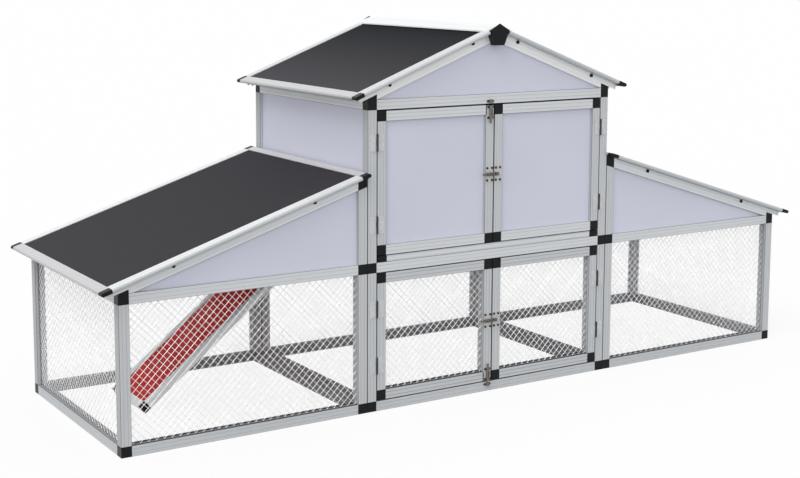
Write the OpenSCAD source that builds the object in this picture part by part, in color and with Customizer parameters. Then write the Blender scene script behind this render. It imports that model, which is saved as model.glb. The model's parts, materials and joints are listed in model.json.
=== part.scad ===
// Chicken run: a two-storey coop tower between two mesh runs, in grooved aluminium profile.
// Origin on the ground at the middle; X along the run, front towards -Y, Z up. Millimetres.

/* [Plan] */
// Width of the tower over its posts
tower_w = 1000; // [900:10:1100]
// Length of each run, from the tower to its outer end
run_l = 855; // [760:5:950]
// Depth of tower and runs over their posts
depth = 800; // [720:10:880]
// Gap between the posts of a run and those of the tower
frame_gap = 2; // [1:0.25:3]

/* [Heights] */
// Height of the ground storey, to the top of the mid rails
storey_h = 500; // [460:5:540]
// Height of the underside of the tower's top rails
eave_h = 1000; // [960:5:1060]
// Slope of the run roofs in degrees
run_pitch = 17.5; // [15:0.5:19]
// Slope of the tower roofs in degrees
tower_pitch = 21; // [18:0.5:24]
// Drop of a sloped run rail below the mid rail's top, at the outer end
run_rail_drop = 16; // [12:1:20]

/* [Profile] */
// Side of the square frame profile
bar_w = 34; // [32:1:36]
// Wall of the frame profile
bar_wall = 1.5; // [1.2:0.1:1.8]
// Chamfer along the profile's edges
bar_chamfer = 1; // [0.6:0.1:1.4]
// Depth of the groove that holds a panel or mesh
groove_d = 6; // [4:0.5:6]
// Setback of the panels from the outer face of their bars
infill_setback = 11; // [9:0.5:13]
// Thickness of the solid panels
panel_t = 4; // [3:0.5:5]

/* [Mesh] */
// Thickness of the mesh, two wires deep
mesh_t = 3; // [2:0.5:4]
// Width of a mesh strand
strand_w = 3; // [2:0.5:5]
// Diagonal of a mesh diamond, drawn coarser than the wire's own
mesh_diag = 102; // [90:2:130]

/* [Connectors] */
// Side of a connector's spigot
spigot_w = 16; // [12:0.5:16.5]
// Length of a connector's spigot inside its bar
spigot_l = 22; // [15:1:30]
// Rise of the corner connectors up into a sloped rail
connector_rise = 17; // [12:1:20]

/* [Doors] */
// Gap between a door and the frame around it
door_gap = 2; // [1.5:0.25:3]
// Gap between an upper door and the top rail
upper_door_gap = 3.5; // [2:0.25:4.5]
// Gap between the two doors of a pair
meeting_gap = 3; // [2:0.25:4]
// Distance of the upper hinges' middles from the ends of their door
upper_hinge_in = 102; // [80:2:130]
// Distance of the lower hinges' middles from the ends of their door
lower_hinge_in = 119; // [90:2:130]
// Height of a hinge
hinge_h = 56; // [45:1:65]
// Width of a hinge leaf from the pin
leaf_w = 26; // [20:1:30]
// Thickness of a hinge leaf
leaf_t = 2; // [1.5:0.25:2.5]
// Outer diameter of a hinge knuckle
knuckle_d = 7; // [6:0.25:8]
// Diameter of a hinge pin
hinge_pin_d = 4; // [3:0.25:4.5]

/* [Door bolts] */
// Length of an upright bolt's plate
upright_plate_l = 46; // [40:1:60]
// Width of an upright bolt's plate
upright_plate_w = 27; // [22:1:32]
// Length of a level bolt's plate, along its rod
level_plate_l = 30; // [26:1:32]
// Height of a level bolt's plate
level_plate_w = 58; // [50:1:66]
// Thickness of the bolt and keeper plates
bolt_plate_t = 2; // [1.5:0.25:2.5]
// Diameter of a bolt's rod
rod_d = 7; // [6:0.25:8]
// Outer diameter of a bolt's barrel
barrel_d = 12; // [11:0.25:13]
// Travel of a bolt's rod
rod_travel = 15; // [12:0.5:16]
// Length of a keeper along its rod
keeper_l = 12; // [10:0.5:14]
// Length of a level keeper's plate
level_keeper_l = 26; // [20:1:30]

/* [Floor tray] */
// Height of the tray
tray_h = 20; // [16:0.5:20.5]
// Sheet thickness of the tray's pan
tray_sheet_t = 1.5; // [1:0.25:2]
// Clearance at each side of the tray
tray_side_gap = 3; // [2:0.5:5]
// Depth of the tray's front bar
tray_front_d = 12; // [10:0.5:16]
// Width of the black end of the tray's front bar
tray_end_w = 36; // [30:1:45]
// Leg of the angle that the tray slides on
runner_leg = 20; // [16:1:26]
// Thickness of the runner angle
runner_t = 2; // [1.5:0.25:3]

/* [Roofs] */
// Reach of the eaves past the frame, along the slope
eave_reach = 51; // [46:1:60]
// Overhang of the roofs at front and back
verge_over = 28; // [22:1:34]
// Overhang of the sloped rails past the frame
rail_over = 26; // [20:1:32]
// Height of the roof trims
trim_h = 12.5; // [12:0.5:15]
// Width of the eave trim
eave_trim_w = 36; // [32:1:44]
// Width of the trim along the front and back of a roof
verge_trim_w = 40; // [36:1:46]
// Width of the trim along the tower side of a run roof
head_trim_w = 33; // [28:1:38]
// Chamfer along the outer edges of the roof trims
trim_nose = 4; // [3:0.5:5]
// Wall of the roof trims
trim_wall = 1.5; // [1:0.25:2]
// Thickness of the roof sheets
sheet_t = 6; // [5:0.5:6.5]
// Step from the top of a trim down to the sheet
sheet_step = 3; // [2.5:0.25:3.5]
// Depth that a sheet goes into its trim
sheet_bite = 12; // [8:1:16]
// Length of the black end caps of the trims
trim_cap_l = 26; // [20:1:30]
// Width of each leg of the ridge cap
ridge_leg_w = 52; // [48:1:60]
// Thickness of the ridge cap
ridge_t = 4; // [3:0.5:5]
// Width of the ridge's end pieces over their shoulders
ridge_end_w = 76; // [70:1:84]
// Height of the ridge's end pieces
ridge_end_h = 72; // [66:1:80]
// Width of the lower edge of the ridge's end pieces
ridge_end_base_w = 36; // [28:1:44]
// Thickness of the face of the ridge's end pieces
ridge_end_t = 6; // [4:0.5:8]
// Diameter of the roof bolts' heads
roof_bolt_head_d = 12; // [10:0.5:14]
// Diameter of the roof bolts' shanks
roof_bolt_d = 6; // [5:0.5:7]

/* [Ramp] */
// Width of the ramp over its side bars
ramp_w = 265; // [220:5:300]
// Slope of the ramp in degrees
ramp_angle = 38; // [36:0.5:42]
// Place of the ramp's middle behind the run's middle line
ramp_y = 107; // [60:1:120]
// Side of the ramp's square bars
ramp_bar_w = 25; // [22:0.5:28]
// Thickness of the ramp's tread
tread_t = 5; // [4:0.5:6]
// Diameter of the ramp's pin
ramp_pin_d = 6; // [5:0.5:8]
// Distance of the ramp's pin from the tower
ramp_pin_out = 21; // [20:0.5:24]
// Width of the doorway at the head of the ramp
doorway_w = 240; // [200:5:280]
// Height of the doorway at the head of the ramp
doorway_h = 225; // [180:5:230]

/* [Hidden] */
$fn = 48;
// Overrun of cuts past the face that they open
over = 1;
// Clearance of a piece that sits in another
fit = 0.3;
// Radial clearance of a pin or rod that turns or slides
run_fit = 0.05;
// Height left between the tray and the upper doors
tray_top_gap = 2.5;
// Gap between a hinge's knuckles and the other leaf
leaf_gap = 0.5;
// Length of a hinge pin past its knuckles
pin_proud = 1;
// Distance of a bolt's plate from the door's edge, and of a keeper from the rail's edge
bolt_inset = 2;
keeper_in = 3;
// Diameter of the stem of a bolt's knob, and how far it stands out
knob_d = 5;
knob_out = 8;
// Length of a rod behind its plate when drawn
rod_tail = 14;
// Height of a roof bolt on its sloped rail, its head's height and its shank's length
roof_bolt_up = 26;
roof_bolt_head_h = 5;
roof_bolt_l = 13;
// Drop of the shoulders of the ridge's end pieces, and their height over the ridge cap
ridge_end_drop = 22;
ridge_end_proud = 3;
// Gap between a run roof and the tower, and between a tower sheet and the ridge line
wall_gap = 1;
ridge_gap = 10;
// Depth of the tread's top below the top of the ramp's bars, and the side of the ramp's spigots
tread_in = 4;
ramp_spigot_w = 11;
// Depth of the ramp's pins in its corners
ramp_pin_deep = 20;
// Thickness of the ramp's brackets, the width of their base and their gap to the ramp
bracket_t = 3;
bracket_base_w = 26;
ear_gap = 1;
// Places of the roof bolts as shares of the rail's plan length
run_bolt_shares = [0.215, 0.78];
tower_bolt_shares = [0.12, 0.82];

half_l = tower_w / 2 + run_l;
half_d = depth / 2;
half_t = tower_w / 2;
inner_half = half_t - bar_w;
clear_d = depth - 2 * bar_w;
run_in = half_t + frame_gap;
run_clear = run_l - frame_gap - 2 * bar_w;
mid_z = storey_h - bar_w;
low_clear = mid_z - bar_w;
coop_clear = eave_h - storey_h;
groove_w = panel_t + 2 * fit;
groove_c = infill_setback + panel_t / 2;
spigot_in = bar_wall + fit;
spigot_mid = (bar_w - spigot_w) / 2;
// Slope frames: along the slope, x counts from the run's outer end or the tower post's inner face
run_head_x = (run_l - wall_gap + bar_w * sin(run_pitch)) / cos(run_pitch);
tower_eave_x = -bar_w / cos(tower_pitch) - eave_reach;
tower_verge_x = (inner_half - ridge_end_w / 2 - fit + bar_w * sin(tower_pitch)) / cos(tower_pitch);
tower_sheet_x = (inner_half - ridge_gap + bar_w * sin(tower_pitch)) / cos(tower_pitch);
sheet_z = bar_w + trim_h - sheet_step - sheet_t;
verge_y = half_d + verge_over;
// Doors, their hinges and bolts
door_w = inner_half - door_gap - meeting_gap / 2;
door_x = -inner_half + door_gap;
upper_door_z = storey_h + fit + tray_h + tray_top_gap;
upper_door_h = eave_h - upper_door_gap - upper_door_z;
lower_door_z = bar_w + door_gap;
lower_door_h = mid_z - door_gap - lower_door_z;
upper_hinges_z = [upper_door_z + upper_hinge_in, upper_door_z + upper_door_h - upper_hinge_in];
lower_hinges_z = [lower_door_z + lower_hinge_in, lower_door_z + lower_door_h - lower_hinge_in];
knuckle_r = knuckle_d / 2;
knuckle_l = hinge_h / 3 - fit;
hinge_out = knuckle_r + fit;
hinge_y = -half_d - hinge_out;
rod_out = bolt_plate_t + barrel_d / 2 - rod_d / 4;
stile_mid_x = -(meeting_gap + bar_w) / 2;
upper_bolt_z = upper_door_z + upper_door_h - bolt_inset;
lower_bolt_z = lower_door_z + bolt_inset;
level_bolt_x = -meeting_gap / 2 - bolt_inset;
// Ramp: the pin's place, and the ramp's length down to the ground
ramp_c = ramp_bar_w / 2;
ramp_pin_x = -half_t - ramp_pin_out;
ramp_pin_z = storey_h - ramp_c;
ramp_l = (ramp_pin_z - ramp_c * cos(ramp_angle)) / sin(ramp_angle);
ramp_clear_l = ramp_l - ramp_bar_w - ramp_c;
ramp_clear_w = ramp_w - 2 * ramp_bar_w;
tread_c = ramp_bar_w - tread_in - tread_t / 2;
ear_y = ramp_w / 2 + ear_gap;

aluminium = "#c6c8cb";
black = "#1b1d20";
lilac = "#c6c6d8";
anthracite = "#434447";
steel = "#b9bdc2";
wire = "#d3d5d7";
red = "#c23a2c";

// Height of the underside of the left run's sloped rail at x
function run_low(x) = storey_h - run_rail_drop + (x + half_l) * tan(run_pitch);
// Height at x of a plane that lies up from the underside of the left gable rail
function tower_at(x, up) = eave_h + bar_w + (x + inner_half) * tan(tower_pitch) + up / cos(tower_pitch);

module both_faces() {
    children();
    mirror([0, 1, 0]) children();
}

module both_ends() {
    children();
    mirror([1, 0, 0]) children();
}

// Square tube over [0, w] with chamfered edges
module tube_outline(w) {
    c = bar_chamfer;
    polygon([[c, 0], [w - c, 0], [w, c], [w, w - c], [w - c, w], [c, w], [0, w - c], [0, c]]);
}

module groove_patch(w, side, place, width, deep, past) {
    low = place - width / 2;
    if (side == "right") translate([w - deep, low]) square([deep + past, width]);
    if (side == "left") translate([-past, low]) square([deep + past, width]);
    if (side == "top") translate([low, w - deep]) square([width, deep + past]);
    if (side == "bottom") translate([low, -past]) square([width, deep + past]);
}

// Section of a tube with grooves, each given as its side and its place from the low edge
module tube_section(w, grooves, slot) {
    difference() {
        tube_outline(w);
        difference() {
            translate([bar_wall, bar_wall]) square(w - 2 * bar_wall);
            for (g = grooves) groove_patch(w, g[0], g[1], slot + 2 * bar_wall, groove_d + bar_wall, 0);
        }
        for (g = grooves) groove_patch(w, g[0], g[1], slot, groove_d, over);
    }
}

// Frame profile with grooves on the named sides, all at the infill's setback
module bar_section(sides = []) {
    tube_section(bar_w, [for (side = sides) [side, groove_c]], groove_w);
}

// A section swept along an axis: along X its x is Y and its y is Z, along Y its x is X and its y is Z
module along_x(l) {
    rotate([90, 0, 90]) linear_extrude(l) children();
}

module along_y(l) {
    translate([0, l, 0]) rotate([90, 0, 0]) linear_extrude(l) children();
}

module along_z(l) {
    linear_extrude(l) children();
}

// An outline in X and Z, swept from y0 to y1
module xz_prism(points, y0, y1) {
    translate([0, y0, 0]) along_y(y1 - y0) polygon(points);
}

// Slope frames of the left run and of the tower's left gable rails
module on_run_slope() {
    translate([-half_l, 0, storey_h - run_rail_drop]) rotate([0, -run_pitch, 0]) children();
}

module on_tower_slope() {
    translate([-inner_half, 0, eave_h + bar_w]) rotate([0, -tower_pitch, 0]) children();
}

// Connector blocks, seen from the front left: x and y count inwards from the outer faces
module spigot(way) {
    s = spigot_w;
    far = bar_w / 2 + spigot_l;
    if (way == "x+") translate([bar_w / 2, spigot_in, spigot_mid]) cube([far, s, s]);
    if (way == "x-") translate([-spigot_l, spigot_in, spigot_mid]) cube([far, s, s]);
    if (way == "y+") translate([spigot_in, bar_w / 2, spigot_mid]) cube([s, far, s]);
    if (way == "z+") translate([spigot_mid, spigot_in, bar_w / 2]) cube([s, s, far]);
    if (way == "z-") translate([spigot_mid, spigot_in, -spigot_l]) cube([s, s, far]);
}

module connector(x, z, ways) {
    translate([x, -half_d, z]) {
        cube(bar_w);
        for (way = ways) spigot(way);
    }
}

// Infill that enters the grooves on all four sides and clears the corner blocks
module infill_outline(w, h, bite) {
    translate([-bite, 0]) square([w + 2 * bite, h]);
    translate([0, -bite]) square([w, h + 2 * bite]);
}

module panel_outline(w, h) {
    infill_outline(w, h, groove_d - fit);
}

module mesh_outline(w, h) {
    nx = round(w / mesh_diag);
    nz = round(h / mesh_diag);
    dx = w / nx;
    dz = h / nz;
    hole_share = 1 - strand_w * sqrt(2) / mesh_diag;
    ax = dx / 2 * hole_share;
    az = dz / 2 * hole_share;
    difference() {
        panel_outline(w, h);
        intersection() {
            square([w, h]);
            for (i = [0 : 2 * nx], j = [0 : 2 * nz])
                if ((i + j) % 2 == 1)
                    translate([i * dx / 2, j * dz / 2]) polygon([[-ax, 0], [0, -az], [ax, 0], [0, az]]);
        }
    }
}

// Infill in the front plane, with its clear opening's low corner at x and z
module front_panel(x, z, w, h) {
    translate([x, -half_d + groove_c - panel_t / 2, z]) along_y(panel_t) panel_outline(w, h);
}

module front_mesh(x, z, w, h) {
    translate([x, -half_d + groove_c - mesh_t / 2, z]) along_y(mesh_t) mesh_outline(w, h);
}

// Runs, modelled on the left

module run_bolt_places() {
    for (s = run_bolt_shares)
        on_run_slope() translate([s * run_l / cos(run_pitch), -half_d, roof_bolt_up])
            rotate([-90, 0, 0]) children();
}

module bolt_hole() {
    translate([0, 0, -over]) cylinder(d = roof_bolt_d + 2 * fit, h = bar_w / 2);
}

module sloped_run_rail() {
    x_in = -half_l + bar_w;
    x_out = -half_l - 2 * rail_over;
    x_post = -run_in - bar_w;
    y0 = -half_d - over;
    y1 = -half_d + bar_w + over;
    z_seat = storey_h + fit;
    reach = rail_over / cos(run_pitch);
    difference() {
        on_run_slope() translate([-reach, -half_d, 0]) along_x(run_head_x + reach) bar_section(["bottom"]);
        xz_prism([[x_out, 0], [x_in, 0], [x_in, run_low(x_in) + connector_rise],
                  [x_out, run_low(x_out) + connector_rise]], y0, y1);
        xz_prism([[x_in - over, 0], [x_post, 0], [x_post, z_seat], [x_in - over, z_seat]], y0, y1);
        xz_prism([[x_post, 0], [0, 0], [0, eave_h], [x_post, eave_h]], y0, y1);
        run_bolt_places() bolt_hole();
    }
}

module run_bars() {
    x_end = -half_l;
    x_in = -half_l + bar_w;
    x_post = -run_in - bar_w;
    x0 = x_post - over;
    x1 = -run_in + over;
    both_faces() {
        translate([x_end, -half_d, bar_w]) along_z(low_clear) bar_section(["right", "top"]);
        translate([x_post, -half_d, bar_w]) along_z(low_clear) bar_section(["left"]);
        difference() {
            translate([x_post, -half_d, storey_h]) along_z(coop_clear) bar_section(["left"]);
            xz_prism([[x0, run_low(x0)], [x1, run_low(x1)], [x1, eave_h + over], [x0, eave_h + over]],
                     -half_d - over, -half_d + bar_w + over);
        }
        translate([x_in, -half_d, 0]) along_x(run_clear) bar_section(["top"]);
        translate([x_in, -half_d, mid_z]) along_x(run_clear) bar_section(["top", "bottom"]);
        sloped_run_rail();
    }
    translate([x_end, -half_d + bar_w, 0]) along_y(clear_d) bar_section(["top"]);
    translate([x_end, -half_d + bar_w, mid_z]) along_y(clear_d) bar_section(["bottom"]);
    translate([x_post, -half_d + bar_w, 0]) along_y(clear_d) bar_section();
}

module run_corner_connector() {
    x = -half_l;
    x_in = x + bar_w;
    rise = connector_rise - fit;
    translate([x, -half_d, mid_z]) for (way = ["x+", "y+", "z-"]) spigot(way);
    xz_prism([[x, mid_z], [x_in, mid_z], [x_in, run_low(x_in) + rise], [x, run_low(x) + rise]],
             -half_d, -half_d + bar_w);
}

module run_head_connector() {
    x = -run_in - bar_w;
    h = bar_w / cos(run_pitch);
    low = run_low(x);
    high = run_low(-run_in);
    xz_prism([[x, low], [-run_in, high], [-run_in, high + h], [x, low + h]], -half_d, -half_d + bar_w);
    translate([x, -half_d, low]) spigot("z-");
    on_run_slope() translate([(run_l - frame_gap - bar_w) / cos(run_pitch), -half_d, 0]) spigot("x-");
}

// Connector beside the tower, with a pad that fills the gap to the tower's own connector
module padded_connector(z, ways) {
    x = -run_in - bar_w;
    connector(x, z, ways);
    translate([x + bar_w - over, -half_d, z]) cube([over + frame_gap - fit, bar_w, bar_w]);
}

module run_connectors() {
    both_faces() {
        connector(-half_l, 0, ["x+", "y+", "z+"]);
        padded_connector(0, ["x-", "y+", "z+"]);
        padded_connector(mid_z, ["x-", "z-", "z+"]);
        run_corner_connector();
        run_head_connector();
    }
}

module run_side_meshes() {
    both_faces() front_mesh(-half_l + bar_w, bar_w, run_clear, low_clear);
}

module run_end_mesh() {
    translate([-half_l + groove_c - mesh_t / 2, -half_d + bar_w, bar_w])
        along_x(mesh_t) mesh_outline(clear_d, low_clear);
}

module run_panels() {
    bite = groove_d - fit;
    x_in = -half_l + bar_w + fit;
    x_post = -run_in - bar_w;
    y = -half_d + groove_c - panel_t / 2;
    both_faces() {
        xz_prism([[x_in, storey_h - bite], [x_post, storey_h - bite], [x_post, run_low(x_post) + bite],
                  [x_in, run_low(x_in) + bite]], y, y + panel_t);
        xz_prism([[x_post - bite, storey_h], [x_post + bite, storey_h], [x_post + bite, run_low(x_post)],
                  [x_post - bite, run_low(x_post - bite)]], y, y + panel_t);
    }
}

// Box over [0, w] and [0, h], chamfered along the edges away from the named side
module nosed_outline(w, h, nose, side) {
    if (side == "right") polygon([[nose, 0], [w, 0], [w, h], [nose, h], [0, h - nose], [0, nose]]);
    if (side == "left") polygon([[0, 0], [w - nose, 0], [w, nose], [w, h - nose], [w - nose, h], [0, h]]);
}

// Roof trims: a hollow box over [0, w] with a slot for the sheet in its right or left side
module trim_section(w, side) {
    t = trim_wall;
    inner_nose = trim_nose - t * (2 - sqrt(2));
    slot_z = sheet_z - bar_w - fit;
    slot_x = side == "right" ? w - t - over : -over;
    difference() {
        nosed_outline(w, trim_h, trim_nose, side);
        translate([t, t]) nosed_outline(w - 2 * t, trim_h - 2 * t, inner_nose, side);
        translate([slot_x, slot_z]) square([t + 2 * over, sheet_t + 2 * fit]);
    }
}

// End cap of a trim over [0, w], its spigot kept off the sheet on the slotted side
module trim_cap(w, side) {
    off = trim_nose + trim_wall + fit;
    s = w - off - sheet_bite - trim_wall - fit;
    s_x = side == "right" ? off : w - off - s;
    s_h = trim_h - 2 * trim_wall - 2 * fit;
    along_y(trim_cap_l) nosed_outline(w, trim_h, trim_nose, side);
    translate([s_x, trim_cap_l - over, trim_wall + fit]) cube([s, trim_cap_l / 2 + over, s_h]);
}

module roof_eave_trim(x) {
    l = 2 * verge_y - 2 * trim_cap_l;
    translate([x, -l / 2, bar_w]) along_y(l) trim_section(eave_trim_w, "right");
}

module roof_verge_trims(x0, x1) {
    l = x1 - x0 - 2 * fit;
    both_faces() translate([x0 + fit, -verge_y, bar_w]) along_x(l) trim_section(verge_trim_w, "right");
}

module roof_sheet(x0, x1) {
    y = verge_y - verge_trim_w + sheet_bite;
    translate([x0, -y, sheet_z]) cube([x1 - x0, 2 * y, sheet_t]);
}

module run_roof_sheet() {
    x_low = -eave_reach + eave_trim_w - sheet_bite;
    x_high = run_head_x - head_trim_w + sheet_bite;
    on_run_slope() roof_sheet(x_low, x_high);
}

module run_roof_trim() {
    l = 2 * verge_y - 2 * trim_cap_l;
    on_run_slope() {
        roof_eave_trim(-eave_reach);
        roof_verge_trims(-eave_reach + eave_trim_w, run_head_x - head_trim_w);
        translate([run_head_x - head_trim_w, -l / 2, bar_w]) along_y(l) trim_section(head_trim_w, "left");
    }
}

// Tower

module tower_post(low_sides, high_sides) {
    translate([-half_t, -half_d, bar_w]) along_z(low_clear) bar_section(low_sides);
    translate([-half_t, -half_d, storey_h]) along_z(coop_clear) bar_section(high_sides);
}

module tower_bolt_places() {
    for (s = tower_bolt_shares)
        on_tower_slope() translate([s * inner_half / cos(tower_pitch), -half_d, roof_bolt_up])
            rotate([-90, 0, 0]) children();
}

module gable_rail() {
    x_out = -half_t - 2 * rail_over;
    y0 = -half_d - over;
    y1 = -half_d + bar_w + over;
    rise = connector_rise;
    reach = (bar_w + rail_over) / cos(tower_pitch);
    difference() {
        on_tower_slope() translate([-reach, -half_d, 0])
            along_x(reach + tower_w / 2) bar_section(["bottom"]);
        xz_prism([[x_out, 0], [-inner_half, 0], [-inner_half, tower_at(-inner_half, 0) + rise],
                  [x_out, tower_at(x_out, 0) + rise]], y0, y1);
        xz_prism([[-fit / 2, 0], [half_t, 0], [half_t, 2 * eave_h], [-fit / 2, 2 * eave_h]], y0, y1);
        tower_bolt_places() bolt_hole();
    }
}

module front_rail(z, sides) {
    translate([-inner_half, -half_d, z]) along_x(2 * inner_half) bar_section(sides);
}

module side_rail(z, sides) {
    translate([-half_t, -half_d + bar_w, z]) along_y(clear_d) bar_section(sides);
}

module tower_frame() {
    color(aluminium) {
        both_ends() {
            tower_post([], ["top"]);
            mirror([0, 1, 0]) tower_post(["right"], ["right", "top"]);
            both_faces() gable_rail();
            side_rail(0, []);
            side_rail(mid_z, ["top"]);
            side_rail(eave_h, ["bottom"]);
        }
        front_rail(0, []);
        front_rail(mid_z, []);
        front_rail(eave_h, ["top"]);
        mirror([0, 1, 0]) {
            front_rail(0, ["top"]);
            front_rail(mid_z, ["top", "bottom"]);
            front_rail(eave_h, ["top", "bottom"]);
        }
    }
}

module tower_connectors() {
    x = -half_t;
    rise = connector_rise - fit;
    color(black) both_ends() both_faces() {
        connector(x, 0, ["x+", "y+", "z+"]);
        connector(x, mid_z, ["x+", "y+", "z-", "z+"]);
        translate([x, -half_d, eave_h]) for (way = ["x+", "y+", "z-"]) spigot(way);
        xz_prism([[x, eave_h], [-inner_half, eave_h], [-inner_half, tower_at(-inner_half, 0) + rise],
                  [x, tower_at(x, 0) + rise]], -half_d, -half_d + bar_w);
    }
}

module tower_back_mesh() {
    color(wire) mirror([0, 1, 0]) front_mesh(-inner_half, bar_w, 2 * inner_half, low_clear);
}

module tower_back_wall() {
    color(lilac) mirror([0, 1, 0]) front_panel(-inner_half, storey_h, 2 * inner_half, coop_clear);
}

module side_wall_place() {
    translate([-half_t + groove_c - panel_t / 2, -half_d + bar_w, storey_h]) along_x(panel_t) children();
}

module tower_left_wall() {
    y = ramp_y + clear_d / 2 - doorway_w / 2;
    z = upper_door_z - storey_h;
    color(lilac) side_wall_place() difference() {
        panel_outline(clear_d, coop_clear);
        translate([y, z]) square([doorway_w, doorway_h]);
    }
}

module tower_right_wall() {
    color(lilac) mirror([1, 0, 0]) side_wall_place() panel_outline(clear_d, coop_clear);
}

module gable_panels() {
    bite = groove_d - fit;
    x = inner_half - fit;
    z = eave_h + bar_w - bite;
    y = -half_d + groove_c - panel_t / 2;
    low = tower_at(-x, bite);
    color(lilac) both_faces()
        xz_prism([[-x, z], [x, z], [x, low], [0, tower_at(0, bite)], [-x, low]], y, y + panel_t);
}

module tower_roof_sheets() {
    color(anthracite) both_ends() on_tower_slope()
        roof_sheet(tower_eave_x + eave_trim_w - sheet_bite, tower_sheet_x);
}

module tower_roof_trim() {
    color(aluminium) both_ends() on_tower_slope() {
        roof_eave_trim(tower_eave_x);
        roof_verge_trims(tower_eave_x + eave_trim_w, tower_verge_x);
    }
}

module ridge_cap() {
    under = bar_w + trim_h;
    upper = under + ridge_t;
    x = ridge_leg_w;
    y = verge_y - ridge_end_t - fit;
    z = tower_at(-x, under);
    z_up = tower_at(-x, upper);
    color(aluminium)
        xz_prism([[-x, z], [0, tower_at(0, under)], [x, z], [x, z_up], [0, tower_at(0, upper)], [-x, z_up]],
                 -y, y);
}

// Each end piece has a pointed face in front of the ridge cap and a body under it
module ridge_end_caps() {
    top = tower_at(0, bar_w + trim_h + ridge_t) + ridge_end_proud;
    shoulder = top - ridge_end_drop;
    low = top - ridge_end_h;
    seat = bar_w + trim_h - fit;
    x = ridge_end_w / 2;
    x_low = ridge_end_base_w / 2;
    z = tower_at(-x, seat);
    color(black) both_faces() {
        xz_prism([[0, top], [x, shoulder], [x_low, low], [-x_low, low], [-x, shoulder]],
                 -verge_y, -verge_y + ridge_end_t);
        xz_prism([[0, tower_at(0, seat)], [x, z], [x_low, low], [-x_low, low], [-x, z]],
                 -verge_y, -half_d - fit);
    }
}

module roof_end_caps() {
    color(black) both_ends() both_faces() {
        on_run_slope() translate([-eave_reach, -verge_y, bar_w]) trim_cap(eave_trim_w, "right");
        on_run_slope() translate([run_head_x - head_trim_w, -verge_y, bar_w]) trim_cap(head_trim_w, "left");
        on_tower_slope() translate([tower_eave_x, -verge_y, bar_w]) trim_cap(eave_trim_w, "right");
    }
}

module roof_bolt() {
    translate([0, 0, -roof_bolt_head_h]) cylinder(d = roof_bolt_head_d, h = roof_bolt_head_h);
    translate([0, 0, -over]) cylinder(d = roof_bolt_d, h = roof_bolt_l + over);
}

module roof_bolts() {
    color(black) both_ends() both_faces() {
        run_bolt_places() roof_bolt();
        tower_bolt_places() roof_bolt();
    }
}

// Hinges, about a pin along Z at the origin, with the leaf towards +X and the frame's face at +Y
module hinge_leaf(knuckles) {
    back = knuckle_r + leaf_gap;
    difference() {
        union() {
            translate([back, hinge_out - leaf_t, -hinge_h / 2]) cube([leaf_w - back, leaf_t, hinge_h]);
            for (k = knuckles) translate([0, 0, k * hinge_h / 3 - knuckle_l / 2]) {
                cylinder(d = knuckle_d, h = knuckle_l);
                translate([0, hinge_out - leaf_t, 0]) cube([back + over, leaf_t, knuckle_l]);
            }
        }
        translate([0, 0, -hinge_h]) cylinder(d = hinge_pin_d + 2 * run_fit, h = 2 * hinge_h);
    }
}

module hinge_places(heights) {
    for (z = heights) translate([-inner_half, hinge_y, z]) children();
}

module frame_hinge_leaves() {
    color(steel) both_ends() hinge_places(concat(upper_hinges_z, lower_hinges_z))
        mirror([1, 0, 0]) hinge_leaf([-1, 1]);
}

module hinge_pins() {
    color(steel) both_ends() hinge_places(concat(upper_hinges_z, lower_hinges_z))
        translate([0, 0, -hinge_h / 2 - pin_proud]) cylinder(d = hinge_pin_d, h = hinge_h + 2 * pin_proud);
}

// Barrel bolts: the plate over [0, l] along Z, its back on the door's face at y = 0
module bolt_barrel(l) {
    translate([0, -rod_out, 0]) cylinder(d = barrel_d, h = l);
}

module bolt_bore(l, clearance) {
    translate([0, -rod_out, -over]) cylinder(d = rod_d + 2 * clearance, h = l + 2 * over);
}

module bolt_body(l, w) {
    slot_w = knob_d + 2 * fit;
    slot_l = rod_travel + slot_w;
    difference() {
        union() {
            translate([-w / 2, -bolt_plate_t, 0]) cube([w, bolt_plate_t, l]);
            bolt_barrel(l);
        }
        bolt_bore(l, run_fit);
        translate([-slot_w / 2, -rod_out - barrel_d, (l - slot_l) / 2]) cube([slot_w, barrel_d, slot_l]);
    }
}

module bolt_rod(l) {
    z = (l - rod_travel) / 2;
    translate([0, -rod_out, -rod_tail]) cylinder(d = rod_d, h = l + rod_tail - fit);
    translate([0, -rod_out, z]) rotate([90, 0, 0]) cylinder(d = knob_d, h = barrel_d / 2 + knob_out);
}

module bolt_keeper(w, l) {
    difference() {
        union() {
            translate([-w / 2, -bolt_plate_t, 0]) cube([w, bolt_plate_t, l]);
            bolt_barrel(keeper_l);
        }
        bolt_bore(keeper_l, fit);
    }
}

module upper_upright_place() {
    translate([stile_mid_x, -half_d, upper_bolt_z - upright_plate_l]) children();
}

module lower_upright_place() {
    translate([stile_mid_x, -half_d, lower_bolt_z + upright_plate_l]) mirror([0, 0, 1]) children();
}

module level_place(z) {
    translate([level_bolt_x - level_plate_l, -half_d, z]) rotate([0, 90, 0]) children();
}

module level_keeper(z) {
    translate([-level_bolt_x, -half_d, z]) rotate([0, 90, 0]) bolt_keeper(level_plate_w, level_keeper_l);
}

module bolt_keepers() {
    low = bar_w - keeper_in - keeper_l;
    color(steel) {
        translate([stile_mid_x, -half_d, eave_h + keeper_in]) bolt_keeper(upright_plate_w, keeper_l);
        translate([stile_mid_x, -half_d, low]) bolt_keeper(upright_plate_w, keeper_l);
    }
}

// Doors, modelled on the left

module door_bars(z, h) {
    far = door_w - bar_w;
    translate([door_x, -half_d, z]) {
        translate([0, 0, bar_w]) along_z(h - 2 * bar_w) bar_section(["right"]);
        translate([far, 0, bar_w]) along_z(h - 2 * bar_w) bar_section(["left"]);
        translate([bar_w, 0, 0]) along_x(door_w - 2 * bar_w) bar_section(["top"]);
        translate([bar_w, 0, h - bar_w]) along_x(door_w - 2 * bar_w) bar_section(["bottom"]);
    }
}

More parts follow.
